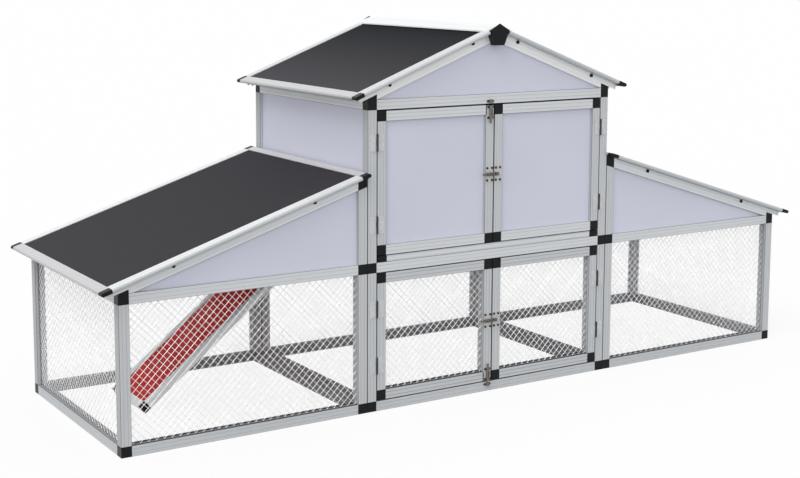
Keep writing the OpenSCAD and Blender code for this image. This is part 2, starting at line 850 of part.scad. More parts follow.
module door_connectors(z, h) {
    far = door_x + door_w - bar_w;
    connector(door_x, z, ["x+", "z+"]);
    connector(door_x, z + h - bar_w, ["x+", "z-"]);
    connector(far, z, ["x-", "z+"]);
    connector(far, z + h - bar_w, ["x-", "z-"]);
}

module upper_panel() {
    front_panel(door_x + bar_w, upper_door_z + bar_w, door_w - 2 * bar_w, upper_door_h - 2 * bar_w);
}

module lower_mesh() {
    front_mesh(door_x + bar_w, lower_door_z + bar_w, door_w - 2 * bar_w, lower_door_h - 2 * bar_w);
}

module upper_left_door_frame() {
    color(aluminium) door_bars(upper_door_z, upper_door_h);
}

module upper_right_door_frame() {
    color(aluminium) mirror([1, 0, 0]) door_bars(upper_door_z, upper_door_h);
}

module lower_left_door_frame() {
    color(aluminium) door_bars(lower_door_z, lower_door_h);
}

module lower_right_door_frame() {
    color(aluminium) mirror([1, 0, 0]) door_bars(lower_door_z, lower_door_h);
}

module upper_left_door_connectors() {
    color(black) door_connectors(upper_door_z, upper_door_h);
}

module upper_right_door_connectors() {
    color(black) mirror([1, 0, 0]) door_connectors(upper_door_z, upper_door_h);
}

module lower_left_door_connectors() {
    color(black) door_connectors(lower_door_z, lower_door_h);
}

module lower_right_door_connectors() {
    color(black) mirror([1, 0, 0]) door_connectors(lower_door_z, lower_door_h);
}

module upper_left_door_panel() {
    color(lilac) upper_panel();
}

module upper_right_door_panel() {
    color(lilac) mirror([1, 0, 0]) upper_panel();
}

module lower_left_door_mesh() {
    color(wire) lower_mesh();
}

module lower_right_door_mesh() {
    color(wire) mirror([1, 0, 0]) lower_mesh();
}

module upper_left_door_hardware() {
    color(steel) {
        hinge_places(upper_hinges_z) hinge_leaf([0]);
        upper_upright_place() bolt_body(upright_plate_l, upright_plate_w);
        level_place(upper_door_z + upper_door_h / 2) bolt_body(level_plate_l, level_plate_w);
    }
}

module upper_right_door_hardware() {
    color(steel) {
        mirror([1, 0, 0]) hinge_places(upper_hinges_z) hinge_leaf([0]);
        level_keeper(upper_door_z + upper_door_h / 2);
    }
}

module lower_left_door_hardware() {
    color(steel) {
        hinge_places(lower_hinges_z) hinge_leaf([0]);
        lower_upright_place() bolt_body(upright_plate_l, upright_plate_w);
        level_place(lower_door_z + lower_door_h / 2) bolt_body(level_plate_l, level_plate_w);
    }
}

module lower_right_door_hardware() {
    color(steel) {
        mirror([1, 0, 0]) hinge_places(lower_hinges_z) hinge_leaf([0]);
        level_keeper(lower_door_z + lower_door_h / 2);
    }
}

module upper_upright_rod() {
    color(steel) upper_upright_place() bolt_rod(upright_plate_l);
}

module lower_upright_rod() {
    color(steel) lower_upright_place() bolt_rod(upright_plate_l);
}

module upper_level_rod() {
    color(steel) level_place(upper_door_z + upper_door_h / 2) bolt_rod(level_plate_l);
}

module lower_level_rod() {
    color(steel) level_place(lower_door_z + lower_door_h / 2) bolt_rod(level_plate_l);
}

// Floor tray and its runners

module floor_tray() {
    x = inner_half - tray_side_gap;
    y = -half_d + tray_front_d;
    l = half_d - bar_w - tray_side_gap - y;
    t = tray_sheet_t;
    color(anthracite) translate([-x, y, storey_h + fit]) difference() {
        cube([2 * x, l, tray_h]);
        translate([t, t, t]) cube([2 * x - 2 * t, l - 2 * t, tray_h]);
    }
}

module tray_front_bar() {
    l = 2 * (inner_half - tray_side_gap - tray_end_w);
    color(aluminium) translate([-l / 2, -half_d, storey_h + fit]) along_x(l) difference() {
        square([tray_front_d, tray_h]);
        translate([bar_wall, bar_wall]) square([tray_front_d - 2 * bar_wall, tray_h - 2 * bar_wall]);
    }
}

module tray_end_caps() {
    x = inner_half - tray_side_gap;
    s = spigot_in;
    color(black) both_ends() translate([-x, -half_d, storey_h + fit]) {
        cube([tray_end_w, tray_front_d, tray_h]);
        translate([tray_end_w - over, s, s]) cube([spigot_l, tray_front_d - 2 * s, tray_h - 2 * s]);
    }
}

module tray_runners() {
    color(aluminium) both_ends() translate([-inner_half, -half_d + bar_w, storey_h]) {
        translate([0, 0, -runner_t]) cube([runner_leg, clear_d, runner_t]);
        translate([0, 0, -runner_leg]) cube([runner_t, clear_d, runner_leg]);
    }
}

// Ramp, from its pin down along -X, with its middle line at y = 0
module on_ramp() {
    translate([ramp_pin_x, ramp_y, ramp_pin_z]) rotate([0, -ramp_angle, 0]) children();
}

module ramp_section(side) {
    tube_section(ramp_bar_w, [[side, tread_c]], tread_t + 2 * fit);
}

module ramp_frame() {
    w = ramp_bar_w;
    color(aluminium) on_ramp() {
        both_faces() translate([-ramp_l + w, -ramp_w / 2, -ramp_c])
            along_x(ramp_clear_l) ramp_section("right");
        translate([-ramp_l, -ramp_clear_w / 2, -ramp_c]) along_y(ramp_clear_w) ramp_section("right");
        translate([-ramp_c, -ramp_clear_w / 2, -ramp_c]) along_y(ramp_clear_w) ramp_section("left");
    }
}

module ramp_tread() {
    z = tread_c - tread_t / 2 - ramp_c;
    color(red) on_ramp() translate([-ramp_l + ramp_bar_w, -ramp_clear_w / 2, z])
        along_z(tread_t) infill_outline(ramp_clear_l, ramp_clear_w, groove_d - fit);
}

module ramp_corner(x, away) {
    w = ramp_bar_w;
    s = ramp_spigot_w;
    mid = (w - s) / 2;
    translate([x, -ramp_w / 2, -ramp_c]) {
        cube(w);
        translate([away > 0 ? w - over : -spigot_l, mid, spigot_in]) cube([spigot_l + over, s, s]);
        translate([mid, w - over, spigot_in]) cube([s, spigot_l + over, s]);
    }
}

module ramp_corners() {
    color(black) on_ramp() both_faces() {
        ramp_corner(-ramp_l, 1);
        difference() {
            ramp_corner(-ramp_c, -1);
            translate([0, -ramp_w / 2 - over, 0]) rotate([-90, 0, 0])
                cylinder(d = ramp_pin_d + 2 * run_fit, h = ramp_pin_deep + over);
        }
    }
}

module ramp_pins() {
    l = ear_gap + bracket_t + ramp_pin_deep - fit;
    color(steel) translate([ramp_pin_x, ramp_y, ramp_pin_z]) both_faces()
        translate([0, -ear_y - bracket_t, 0]) rotate([-90, 0, 0]) cylinder(d = ramp_pin_d, h = l);
}

module ramp_brackets() {
    ear_l = ramp_pin_out + ramp_pin_d;
    h = bar_w - 2 * bracket_t;
    color(steel) translate([-half_t, ramp_y, mid_z + bracket_t]) both_faces() difference() {
        union() {
            translate([-ear_l, -ear_y - bracket_t, 0]) cube([ear_l, bracket_t, h]);
            translate([-bracket_t, -ear_y - bracket_base_w, 0]) cube([bracket_t, bracket_base_w, h]);
        }
        translate([-ramp_pin_out, -ear_y - bracket_t - over, ramp_pin_z - mid_z - bracket_t])
            rotate([-90, 0, 0]) cylinder(d = ramp_pin_d + 2 * run_fit, h = bracket_t + 2 * over);
    }
}

module left_run_frame() {
    color(aluminium) run_bars();
}

module right_run_frame() {
    color(aluminium) mirror([1, 0, 0]) run_bars();
}

module left_run_connectors() {
    color(black) run_connectors();
}

module right_run_connectors() {
    color(black) mirror([1, 0, 0]) run_connectors();
}

module left_run_side_meshes() {
    color(wire) run_side_meshes();
}

module right_run_side_meshes() {
    color(wire) mirror([1, 0, 0]) run_side_meshes();
}

module left_run_end_mesh() {
    color(wire) run_end_mesh();
}

module right_run_end_mesh() {
    color(wire) mirror([1, 0, 0]) run_end_mesh();
}

module left_run_panels() {
    color(lilac) run_panels();
}

module right_run_panels() {
    color(lilac) mirror([1, 0, 0]) run_panels();
}

module left_run_roof_sheet() {
    color(anthracite) run_roof_sheet();
}

module right_run_roof_sheet() {
    color(anthracite) mirror([1, 0, 0]) run_roof_sheet();
}

module left_run_roof_trim() {
    color(aluminium) run_roof_trim();
}

module right_run_roof_trim() {
    color(aluminium) mirror([1, 0, 0]) run_roof_trim();
}

// Nodes

left_run_frame();
right_run_frame();
tower_frame();
left_run_connectors();
right_run_connectors();
tower_connectors();
left_run_side_meshes();
right_run_side_meshes();
left_run_end_mesh();
right_run_end_mesh();
tower_back_mesh();
left_run_panels();
right_run_panels();
tower_left_wall();
tower_right_wall();
tower_back_wall();
gable_panels();
left_run_roof_sheet();
right_run_roof_sheet();
tower_roof_sheets();
left_run_roof_trim();
right_run_roof_trim();
tower_roof_trim();
ridge_cap();
ridge_end_caps();
roof_end_caps();
roof_bolts();
frame_hinge_leaves();
hinge_pins();
bolt_keepers();
tray_runners();
ramp_brackets();
ramp_pins();
upper_left_door_frame();
upper_left_door_connectors();
upper_left_door_panel();
upper_left_door_hardware();
upper_right_door_frame();
upper_right_door_connectors();
upper_right_door_panel();
upper_right_door_hardware();
lower_left_door_frame();
lower_left_door_connectors();
lower_left_door_mesh();
lower_left_door_hardware();
lower_right_door_frame();
lower_right_door_connectors();
lower_right_door_mesh();
lower_right_door_hardware();
upper_upright_rod();
upper_level_rod();
lower_upright_rod();
lower_level_rod();
floor_tray();
tray_front_bar();
tray_end_caps();
ramp_frame();
ramp_tread();
ramp_corners();
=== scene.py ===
"""Looks of the chicken run: a coop tower between two mesh runs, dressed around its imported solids."""

import json
import logging
import math
from dataclasses import dataclass, field, replace
from enum import Enum
from typing import Iterator, Sequence

import bmesh
import bpy
from mathutils import Matrix, Vector


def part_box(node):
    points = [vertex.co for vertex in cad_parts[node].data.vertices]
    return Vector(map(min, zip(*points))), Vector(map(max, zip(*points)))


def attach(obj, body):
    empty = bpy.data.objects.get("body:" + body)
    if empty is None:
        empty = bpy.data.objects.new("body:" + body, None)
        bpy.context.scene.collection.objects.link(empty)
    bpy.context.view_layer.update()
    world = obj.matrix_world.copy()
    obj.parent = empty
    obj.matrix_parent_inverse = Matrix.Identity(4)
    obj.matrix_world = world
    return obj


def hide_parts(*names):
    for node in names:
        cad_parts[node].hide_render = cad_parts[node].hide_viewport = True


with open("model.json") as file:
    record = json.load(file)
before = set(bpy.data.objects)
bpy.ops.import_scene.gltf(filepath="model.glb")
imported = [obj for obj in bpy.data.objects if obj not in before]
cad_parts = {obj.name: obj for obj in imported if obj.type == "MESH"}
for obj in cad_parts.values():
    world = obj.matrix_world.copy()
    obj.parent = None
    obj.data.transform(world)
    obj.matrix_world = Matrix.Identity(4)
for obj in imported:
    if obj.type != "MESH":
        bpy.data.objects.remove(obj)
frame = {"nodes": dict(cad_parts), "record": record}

LOG = logging.getLogger("chicken_run")
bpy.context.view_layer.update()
NODE_BODY = {
    node: body
    for body, nodes in frame["record"]["behaviour"]["bodies"].items()
    for node in nodes
}

# The vertex attribute that holds the place along and across a bar.
GRAIN = "grain"
# How far the scored lines lie from the middle line of a bar's face.
SCORE_OUT = 0.0065
# Vertices closer than this are one, and faces that turn less than this are flat.
WELD = 1e-6
FLAT = math.radians(1)
# The span of cloudy noise, and shares that go up or down over a span.
NOISE = (0.3, 0.7)
RISING = (0.0, 1.0)
FALLING = (1.0, 0.0)

Span = tuple[float, float]
Triple = tuple[float, float, float]
Colour = Triple
Inputs = dict[str | int, object]
Socket = bpy.types.NodeSocket
Mesh = bpy.types.Mesh
Shape = bmesh.types.BMesh
Face = bmesh.types.BMFace

WHITE: Colour = (1.0, 1.0, 1.0)


def tone(red: int, green: int, blue: int) -> Colour:
    """Turns a colour of 0 to 255 a channel into linear light.

    Args:
        red: The red channel.
        green: The green channel.
        blue: The blue channel.

    Returns:
        The colour as three linear shares.
    """
    full, knee, slope, lift, power = 255, 0.04045, 12.92, 0.055, 2.4
    shares = [channel / full for channel in (red, green, blue)]
    return tuple(
        share / slope if share <= knee else ((share + lift) / (1 + lift)) ** power for share in shares
    )


def shade(colour: Colour, share: float) -> Colour:
    """A colour made lighter or darker by a share."""
    return tuple(min(1.0, channel * share) for channel in colour)


class Side(Enum):
    """The two ends of the run, as words for its nodes' names."""

    LEFT = "left"
    RIGHT = "right"


class Level(Enum):
    """The two storeys of the tower, as words for its nodes' names."""

    UPPER = "upper"
    LOWER = "lower"


class Zone(Enum):
    """The zones of the door metalwork, as numbers of a piece's materials."""

    LEAF = 0
    KNUCKLE = 1
    PLATE = 2
    BARREL = 3


class BarZone(Enum):
    """The zones of a bar, as numbers of a piece's materials; most zones take a lit or a shaded copy of one
    aluminium, which paints light and shade on the bar.
    """

    OUTER = 0
    LEVEL = 1
    EAVE = 2
    SLOPED = 3
    INNER = 4
    INNER_POST = 5
    POST_SIDE = 6
    BEAD = 7


class Slot(Enum):
    """The record's material slots."""

    BAR = "aluminium_bar"
    BLACK = "black_plastic"
    PANEL = "lilac_panel"
    ROOF = "roof_sheet"
    WIRE = "wire_mesh"
    STEEL = "steel_hardware"
    TRAY = "tray_plastic"
    TREAD = "red_tread"


class NodeTree:
    """A node tree, with short calls that materials, geometry and light share."""

    def __init__(self, tree: bpy.types.NodeTree) -> None:
        """Takes the tree that the nodes go in."""
        self.tree = tree

    def plug(self, socket: Socket, value: object) -> None:
        """Links an output to a socket, or sets a plain value on it.

        Args:
            socket: The input socket.
            value: A node's output, a number, a place or a colour.
        """
        if isinstance(value, Socket):
            self.tree.links.new(value, socket)
        elif socket.type == "RGBA":
            socket.default_value = (*value, 1.0)
        else:
            socket.default_value = value

    def node(self, kind: str, inputs: Inputs, **settings: object) -> bpy.types.Node:
        """Adds a node, sets it and feeds its inputs.

        Args:
            kind: The node's kind.
            inputs: Outputs to link, or plain values, by the name or number of the input.
            settings: The node's own settings.

        Returns:
            The node.
        """
        node = self.tree.nodes.new(kind)
        for name, value in settings.items():
            setattr(node, name, value)
        for key, value in inputs.items():
            self.plug(node.inputs[key], value)
        return node

    def made(self, kind: str, inputs: Inputs, **settings: object) -> Socket:
        """Adds a node and gives its first output."""
        return self.node(kind, inputs, **settings).outputs[0]

    def sum(self, kind: str, first: object, second: object = 0.0) -> Socket:
        """One step of arithmetic, by the name of its operation."""
        return self.made("ShaderNodeMath", {0: first, 1: second}, operation=kind)


class ShaderTree(NodeTree):
    """The node tree of one material, with short calls for the nodes that the finishes use."""

    def __init__(self, name: str) -> None:
        """Makes a material with its one main shader.

        Args:
            name: The material's name.
        """
        self.material = bpy.data.materials.new(name)
        self.material.use_nodes = True
        super().__init__(self.material.node_tree)
        self.shader = self.tree.nodes["Principled BSDF"]

    def feed(self, **values: object) -> None:
        """Feeds outputs or plain values to the main shader, by socket name with underscores for spaces."""
        for name, value in values.items():
            self.plug(self.shader.inputs[name.replace("_", " ")], value)

    def object_place(self) -> Socket:
        """The place on the piece, in its own metres."""
        return self.node("ShaderNodeTexCoord", {}).outputs["Object"]

    def grain_place(self) -> Socket:
        """The place on a bar: along it, and across it both ways."""
        return self.node("ShaderNodeAttribute", {}, attribute_name=GRAIN).outputs["Vector"]

    def scaled(self, place: Socket, scale: Triple) -> Socket:
        """A place stretched along its three axes."""
        return self.made("ShaderNodeVectorMath", {0: place, 1: scale}, operation="MULTIPLY")

    def part(self, place: Socket, axis: str) -> Socket:
        """One axis of a place."""
        return self.node("ShaderNodeSeparateXYZ", {0: place}).outputs[axis]

    def noise(self, place: Socket, scale: float, octaves: float = 3.0) -> Socket:
        """Cloudy noise over a place, with so many clouds to the metre."""
        clouds = {"Vector": place, "Scale": scale, "Detail": octaves}
        return self.node("ShaderNodeTexNoise", clouds).outputs["Fac"]

    def grains(self, place: Socket, scale: float) -> Socket:
        """Cells with a tone of their own, as in grit or zinc, with so many to the metre."""
        cells = self.node("ShaderNodeTexVoronoi", {"Vector": place, "Scale": scale})
        return self.node("ShaderNodeSeparateColor", {"Color": cells.outputs["Color"]}).outputs["Red"]

    def spread(self, value: Socket, near: Span, out: Span = RISING) -> Socket:
        """Carries a value from one span over to another, held at its ends."""
        ends = dict(zip(("From Min", "From Max", "To Min", "To Max"), (*near, *out)))
        return self.made("ShaderNodeMapRange", {"Value": value, **ends})

    def blend(self, share: Socket, first: object, second: object) -> Socket:
        """Mixes two colours.

        Args:
            share: The share of the second colour.
            first: The first colour, or an output that gives it.
            second: The second colour, or an output that gives it.

        Returns:
            The mixed colour.
        """
        share_in, first_in, second_in, colour_out = 0, 6, 7, 2
        inputs = {share_in: share, first_in: first, second_in: second}
        return self.node("ShaderNodeMix", inputs, data_type="RGBA").outputs[colour_out]

    def relief(self, height: Socket, strength: float, depth: float) -> None:
        """Gives the main shader a relief; the depth is that of a height of 1, in metres."""
        sizes = {"Height": height, "Strength": strength, "Distance": depth}
        self.feed(Normal=self.made("ShaderNodeBump", sizes))


@dataclass(frozen=True)
class Finish:
    """A finish: its name, main colour, slot, gloss and relief."""

    name: str
    colour: Colour
    slot: Slot
    metallic: float = 0.0
    roughness: float = 0.5
    specular: float = 0.5
    smoother: float = 0.08
    rougher: float = 0.08
    relief: float = 0.12
    relief_depth: float = 0.0004

    def material(self) -> bpy.types.Material:
        """The finish's material, made when it is first asked for.

        Returns:
            The material.
        """
        found = bpy.data.materials.get(self.name)
        if found:
            return found
        tree = ShaderTree(self.name)
        tree.feed(Metallic=self.metallic, Specular_IOR_Level=self.specular)
        self.draw(tree)
        return tree.material

    def draw(self, tree: ShaderTree) -> None:
        """Draws the finish's own detail; each finish has its own way."""
        raise NotImplementedError

    def pair(self, share: float) -> tuple[Colour, Colour]:
        """The main colour made darker, and lighter, by a share."""
        return shade(self.colour, 1 - share), shade(self.colour, 1 + share)

    def lay(self, tree: ShaderTree, colour: Socket, wear: Socket, height: Socket) -> None:
        """Feeds the colour, the changing gloss and the relief to the main shader.

        Args:
            tree: The material's tree.
            colour: The colour.
            wear: The noise that the gloss changes with.
            height: The height of the relief.
        """
        gloss = tree.spread(wear, NOISE, (self.roughness - self.smoother, self.roughness + self.rougher))
        tree.feed(Base_Color=colour, Roughness=gloss)
        tree.relief(height, self.relief, self.relief_depth)


@dataclass(frozen=True)
class ExtrudedBar(Finish):
    """Drawn aluminium: die streaks along the bar, painted shade in its scored lines, on its edges and under
    a trim's nose, and a painted highlight on its upper face.
    """

    smoother: float = 0.06
    streak_scale: float = 420.0
    streak_stretch: float = 0.006
    streak_span: Span = (0.32, 0.68)
    streak_share: float = 0.05
    cloud_scale: float = 2.3
    cloud_span: Span = (0.35, 0.7)
    cloud_most: float = 0.35
    # Painted shade in the scored lines and on the chamfered edges, a painted highlight on the upper face
    # and painted shade under a nose.
    groove_half: float = 0.0012
    groove_shade: float = 0.7
    edge_from: float = 0.0158
    edge_soft: float = 0.0004
    edge_shade: float = 0.15
    top_from: float = 0.1
    top_soft: float = 0.0002
    top_colour: Colour = (0.8, 0.8, 0.8)
    low_from: float = -0.1
    low_soft: float = 0.0006
    low_shade: float = 0.6

    def draw(self, tree: ShaderTree) -> None:
        """Draws the streaks, the soft clouds, the painted shade in the lines, on the edges and under the
        nose, and the painted highlight on the upper face.

        Args:
            tree: The material's tree.
        """
        place = tree.grain_place()
        up = tree.part(place, "Y")
        streaks = tree.noise(
            tree.scaled(place, (self.streak_stretch, 1.0, 1.0)), self.streak_scale, octaves=4.0
        )
        clouds = tree.noise(tree.object_place(), self.cloud_scale)
        drawn = tree.spread(streaks, self.streak_span)
        dark, light = self.pair(self.streak_share)
        body = tree.blend(drawn, dark, light)
        cloudy = tree.blend(tree.spread(clouds, self.cloud_span, (0.0, self.cloud_most)), body, dark)
        # Painted shade: the scored lines and the chamfered edges are darkened where shade would fall in
        # them.
        across = tree.sum("MINIMUM", *(tree.sum("ABSOLUTE", tree.part(place, axis)) for axis in "YZ"))
        off_line = tree.sum("ABSOLUTE", tree.sum("SUBTRACT", across, SCORE_OUT))
        in_groove = tree.spread(off_line, (0.0, self.groove_half), FALLING)
        lined = tree.blend(in_groove, cloudy, shade(self.colour, self.groove_shade))
        at_edge = tree.spread(across, (self.edge_from, self.edge_from + self.edge_soft))
        edge_shaded = tree.blend(at_edge, lined, shade(self.colour, self.edge_shade))
        # Painted shade under the nose, and a painted highlight on the upper face where light from above
        # falls.
        below = tree.spread(up, (self.low_from - self.low_soft, self.low_from), FALLING)
        shaded = tree.blend(below, edge_shaded, shade(self.colour, self.low_shade))
        on_top = tree.spread(up, (self.top_from - self.top_soft, self.top_from))
        bright = tree.blend(drawn, shade(self.top_colour, 1 - self.streak_share), self.top_colour)
        self.lay(tree, tree.blend(on_top, shaded, bright), streaks, streaks)


@dataclass(frozen=True)
class MouldedPlastic(Finish):
    """Moulded plastic with a fine spark grain and a faint bloom of dust."""

    smoother: float = 0.07
    rougher: float = 0.1
    relief: float = 0.25
    relief_depth: float = 0.0003
    grain_scale: float = 1500.0
    bloom_scale: float = 9.0
    bloom_span: Span = (0.35, 0.75)
    bloom_most: float = 0.8
    bloom: float = 1.7

    def draw(self, tree: ShaderTree) -> None:
        """Draws the spark grain and the bloom.

        Args:
            tree: The material's tree.
        """
        place = tree.object_place()
        spark = tree.noise(place, self.grain_scale, octaves=2.0)
        bloom = tree.noise(place, self.bloom_scale)
        share = tree.spread(bloom, self.bloom_span, (0.0, self.bloom_most))
        dusty = tree.blend(share, self.colour, shade(self.colour, self.bloom))
        self.lay(tree, dusty, bloom, spark)


@dataclass(frozen=True)
class PanelBoard(Finish):
    """Smooth painted board with a faint roller skin and soft clouds."""

    smoother: float = 0.05
    rougher: float = 0.07
    relief: float = 0.06
    skin_scale: float = 340.0
    cloud_scale: float = 1.6
    cloud_span: Span = (0.35, 0.65)
    cloud_share: float = 0.025

    def draw(self, tree: ShaderTree) -> None:
        """Draws the clouds and the roller skin.

        Args:
            tree: The material's tree.
        """
        place = tree.object_place()
        clouds = tree.noise(place, self.cloud_scale, octaves=2.0)
        skin = tree.noise(place, self.skin_scale, octaves=2.0)
        cloudy = tree.blend(tree.spread(clouds, self.cloud_span), *self.pair(self.cloud_share))
        self.lay(tree, cloudy, skin, skin)


@dataclass(frozen=True)
class RoofBoard(Finish):
    """Dark roofing sheet: fine mineral grit, paler towards its eave."""

    relief: float = 0.3
    relief_depth: float = 0.0006
    grit_scale: float = 620.0
    grit_dark: float = 0.72
    grit_pale: float = 1.3
    cloud_scale: float = 3.2
    cloud_mix: Span = (0.25, 0.75)
    eave_z: float = 0.52
    ridge_z: float = 0.8
    eave_colour: Colour = tone(63, 62, 65)

    def draw(self, tree: ShaderTree) -> None:
        """Draws the grit, the clouds and the paler tone along the eave.

        Args:
            tree: The material's tree.
        """
        place = tree.object_place()
        grit = tree.grains(place, self.grit_scale)
        fine = tree.noise(place, 2 * self.grit_scale, octaves=2.0)
        clouds = tree.noise(place, self.cloud_scale)
        up = tree.spread(tree.part(place, "Z"), (self.eave_z, self.ridge_z))
        dark, body, pale = (
            tree.blend(up, shade(self.eave_colour, share), shade(self.colour, share))
            for share in (self.grit_dark, 1.0, self.grit_pale)
        )
        grainy = tree.blend(grit, dark, pale)
        soft = tree.blend(tree.spread(clouds, NOISE, self.cloud_mix), grainy, body)
        self.lay(tree, soft, fine, fine)


@dataclass(frozen=True)
class Plated(Finish):
    """Zinc-plated or galvanised steel: a fine spangle and dull patches."""

    rougher: float = 0.14
    relief: float = 0.05
    relief_depth: float = 0.0002
    spangle_scale: float = 260.0
    spangle_share: float = 0.08
    patch_scale: float = 30.0
    patch_span: Span = (0.45, 0.75)
    patch_most: float = 0.6
    patch_shade: float = 0.82

    def draw(self, tree: ShaderTree) -> None:
        """Draws the spangle and the dull patches.

        Args:
            tree: The material's tree.
        """
        place = tree.object_place()
        spangle = tree.grains(place, self.spangle_scale)
        patches = tree.noise(place, self.patch_scale)
        body = tree.blend(spangle, *self.pair(self.spangle_share))
        dull = tree.spread(patches, self.patch_span, (0.0, self.patch_most))
        patched = tree.blend(dull, body, shade(self.colour, self.patch_shade))
        self.lay(tree, patched, patches, spangle)


@dataclass(frozen=True)
class TreadBoard(Finish):
    """Painted ramp board with a non-slip stipple, scuffed where feet go, with painted shade on its low end
    to even it with the roof's shadow on its high end.
    """

    smoother: float = 0.1
    rougher: float = 0.1
    relief: float = 0.5
    relief_depth: float = 0.0008
    stipple_scale: float = 420.0
    stipple_shade: float = 0.92
    soil_low: float = 0.06
    soil_top: float = 0.3
    soil_share: float = 0.62
    scuff_scale: float = 14.0
    scuff_span: Span = (0.5, 0.75)
    scuff_most: float = 0.5
    scuff: Colour = (0.75, 0.04, 0.03)

    def draw(self, tree: ShaderTree) -> None:
        """Draws the stipple, the scuffs and the painted shade at the low end.

        Args:
            tree: The material's tree.
        """
        place = tree.object_place()
        stipple = tree.noise(place, self.stipple_scale, octaves=2.0)
        scuffs = tree.noise(place, self.scuff_scale, octaves=5.0)
        body = tree.blend(tree.spread(stipple, NOISE), shade(self.colour, self.stipple_shade), self.colour)
        worn = tree.spread(scuffs, self.scuff_span, (0.0, self.scuff_most))
        scuffed = tree.blend(worn, body, self.scuff)
        # Painted shade: the low end, which more light reaches, is darkened to even it with the shaded high
        # end.
        low = tree.spread(tree.part(place, "Z"), (self.soil_low, self.soil_top), FALLING)
        low_end_shaded = tree.blend(low, scuffed, shade(self.colour, self.soil_share))
        self.lay(tree, low_end_shaded, scuffs, stipple)


# Bar aluminium, with painted shade in its scored lines and on its edges.
BAR = ExtrudedBar(
    "grooved_aluminium", tone(196, 199, 202), Slot.BAR, metallic=0.15, roughness=0.45, specular=0.3
)
# Trim finishes: painted highlights on their upper faces, at a strength set for each trim, and painted shade
# under the eave trim's nose.
VERGE = replace(
    BAR, name="verge_trim_aluminium", colour=tone(194, 197, 200), roughness=0.4,
    groove_shade=1.0, edge_from=0.1, top_from=0.006, top_colour=tone(230, 232, 233),
)
TOWER_VERGE = replace(VERGE, name="tower_verge_aluminium", top_colour=tone(216, 218, 220))
EAVE = replace(
    VERGE, name="eave_trim_aluminium", colour=tone(186, 187, 189),
    top_colour=tone(206, 205, 208), low_from=-0.0015,
)
# Painted light: a lighter copy of the bar aluminium for the level bars above the mesh, such as the header.
LIT_LEVEL_BAR = replace(BAR, name="painted_light_level_aluminium", colour=tone(212, 215, 218))
# Painted shade: a darker copy of the bar aluminium for the posts' faces that look sideways.
POST_SIDE = replace(BAR, name="painted_shade_post_side_aluminium", colour=tone(178, 181, 184))
# Painted light: a lighter copy for the sloped rails and the eave rails, which cancels the shade under the
# trims.
LIT_SHELTERED = replace(BAR, name="painted_light_sheltered_aluminium", colour=tone(225, 228, 231), groove_shade=0.8)
# Painted shade: darker copies, with less gloss, for the bars' inner faces below the mesh top, where the
# roofs shade the runs.
INNER = replace(
    BAR, name="painted_shade_inner_aluminium", colour=tone(152, 154, 157), metallic=0.1, roughness=0.6, specular=0.2
)
INNER_POST = replace(INNER, name="dulled_post_aluminium", colour=tone(186, 188, 191))
# Painted light: aluminium raised far above the bars' tone so that the ramp's bars and the tower's sloped
# rails look lit in the shade they stand in; it dresses the ridge cover too.
PALE_LIT = replace(
    BAR, name="pale_painted_light_aluminium", colour=tone(238, 240, 241), roughness=0.4, groove_shade=0.9, edge_from=0.1
)
# Painted shade: a dark strip on the front mesh rails' upper faces and on the doors' outer sides, where
# shade falls in the gaps.
BEAD = MouldedPlastic("painted_shade_strip", tone(62, 64, 67), Slot.BAR, roughness=0.6, specular=0.2, bloom=1.3)
BLACK = MouldedPlastic("black_moulding", tone(11, 13, 15), Slot.BLACK, roughness=0.4, specular=0.18)
TRAY = MouldedPlastic("grey_tray", tone(72, 74, 77), Slot.TRAY, bloom=1.25)
PANEL = PanelBoard("lilac_board", tone(209, 211, 226), Slot.PANEL, roughness=0.45, specular=0.3)
RUN_ROOF = RoofBoard("run_roofing", tone(55, 54, 58), Slot.ROOF, roughness=0.8, specular=0.06)
TOWER_ROOF = replace(
    RUN_ROOF, name="tower_roofing", colour=tone(23, 27, 30),
    eave_z=1.06, ridge_z=1.24, eave_colour=tone(72, 71, 75),
)
WIRE = Plated(
    "galvanised_wire", tone(247, 247, 248), Slot.WIRE, metallic=1.0, roughness=0.3, spangle_share=0.04
)
STEEL = Plated("plated_steel", tone(200, 203, 205), Slot.STEEL, metallic=0.3, roughness=0.4)
TURNED = Plated(
    "dark_turned_steel", tone(62, 62, 62), Slot.STEEL, metallic=0.4, roughness=0.45, specular=0.3
)
PLATE = replace(TURNED, name="dull_bolt_plate", colour=tone(198, 197, 194), metallic=0.3, roughness=0.5)
BARREL = replace(TURNED, name="bolt_barrel_steel", colour=tone(112, 110, 107), roughness=0.4)
TREAD = TreadBoard("red_tread_board", tone(255, 40, 28), Slot.TREAD, roughness=0.55, specular=0.3)


@dataclass(frozen=True)
class BarDress:
    """The finishes of a set of bars, one for each zone."""

    outer: Finish
    level: Finish
    eave: Finish
    sloped: Finish
    inner: Finish
    inner_post: Finish
    post_side: Finish
    bead: Finish = BEAD

    def finishes(self) -> tuple[Finish, ...]:
        """The finishes in the order of the zones."""
        return tuple(getattr(self, zone.name.lower()) for zone in BarZone)


# Each zone takes its own lit or shaded copy of the aluminium: painted light and shade.
FRAME_DRESS = BarDress(BAR, LIT_LEVEL_BAR, LIT_SHELTERED, LIT_SHELTERED, INNER, INNER_POST, POST_SIDE)
# Painted light on the tower's sloped rails.
TOWER_DRESS = replace(FRAME_DRESS, sloped=PALE_LIT)
TRIM_DRESS = BarDress(VERGE, VERGE, EAVE, VERGE, VERGE, VERGE, VERGE)
TOWER_TRIM_DRESS = replace(TRIM_DRESS, outer=TOWER_VERGE, sloped=TOWER_VERGE)
PALE_LIT_DRESS = BarDress(PALE_LIT, PALE_LIT, PALE_LIT, PALE_LIT, PALE_LIT, PALE_LIT, PALE_LIT)


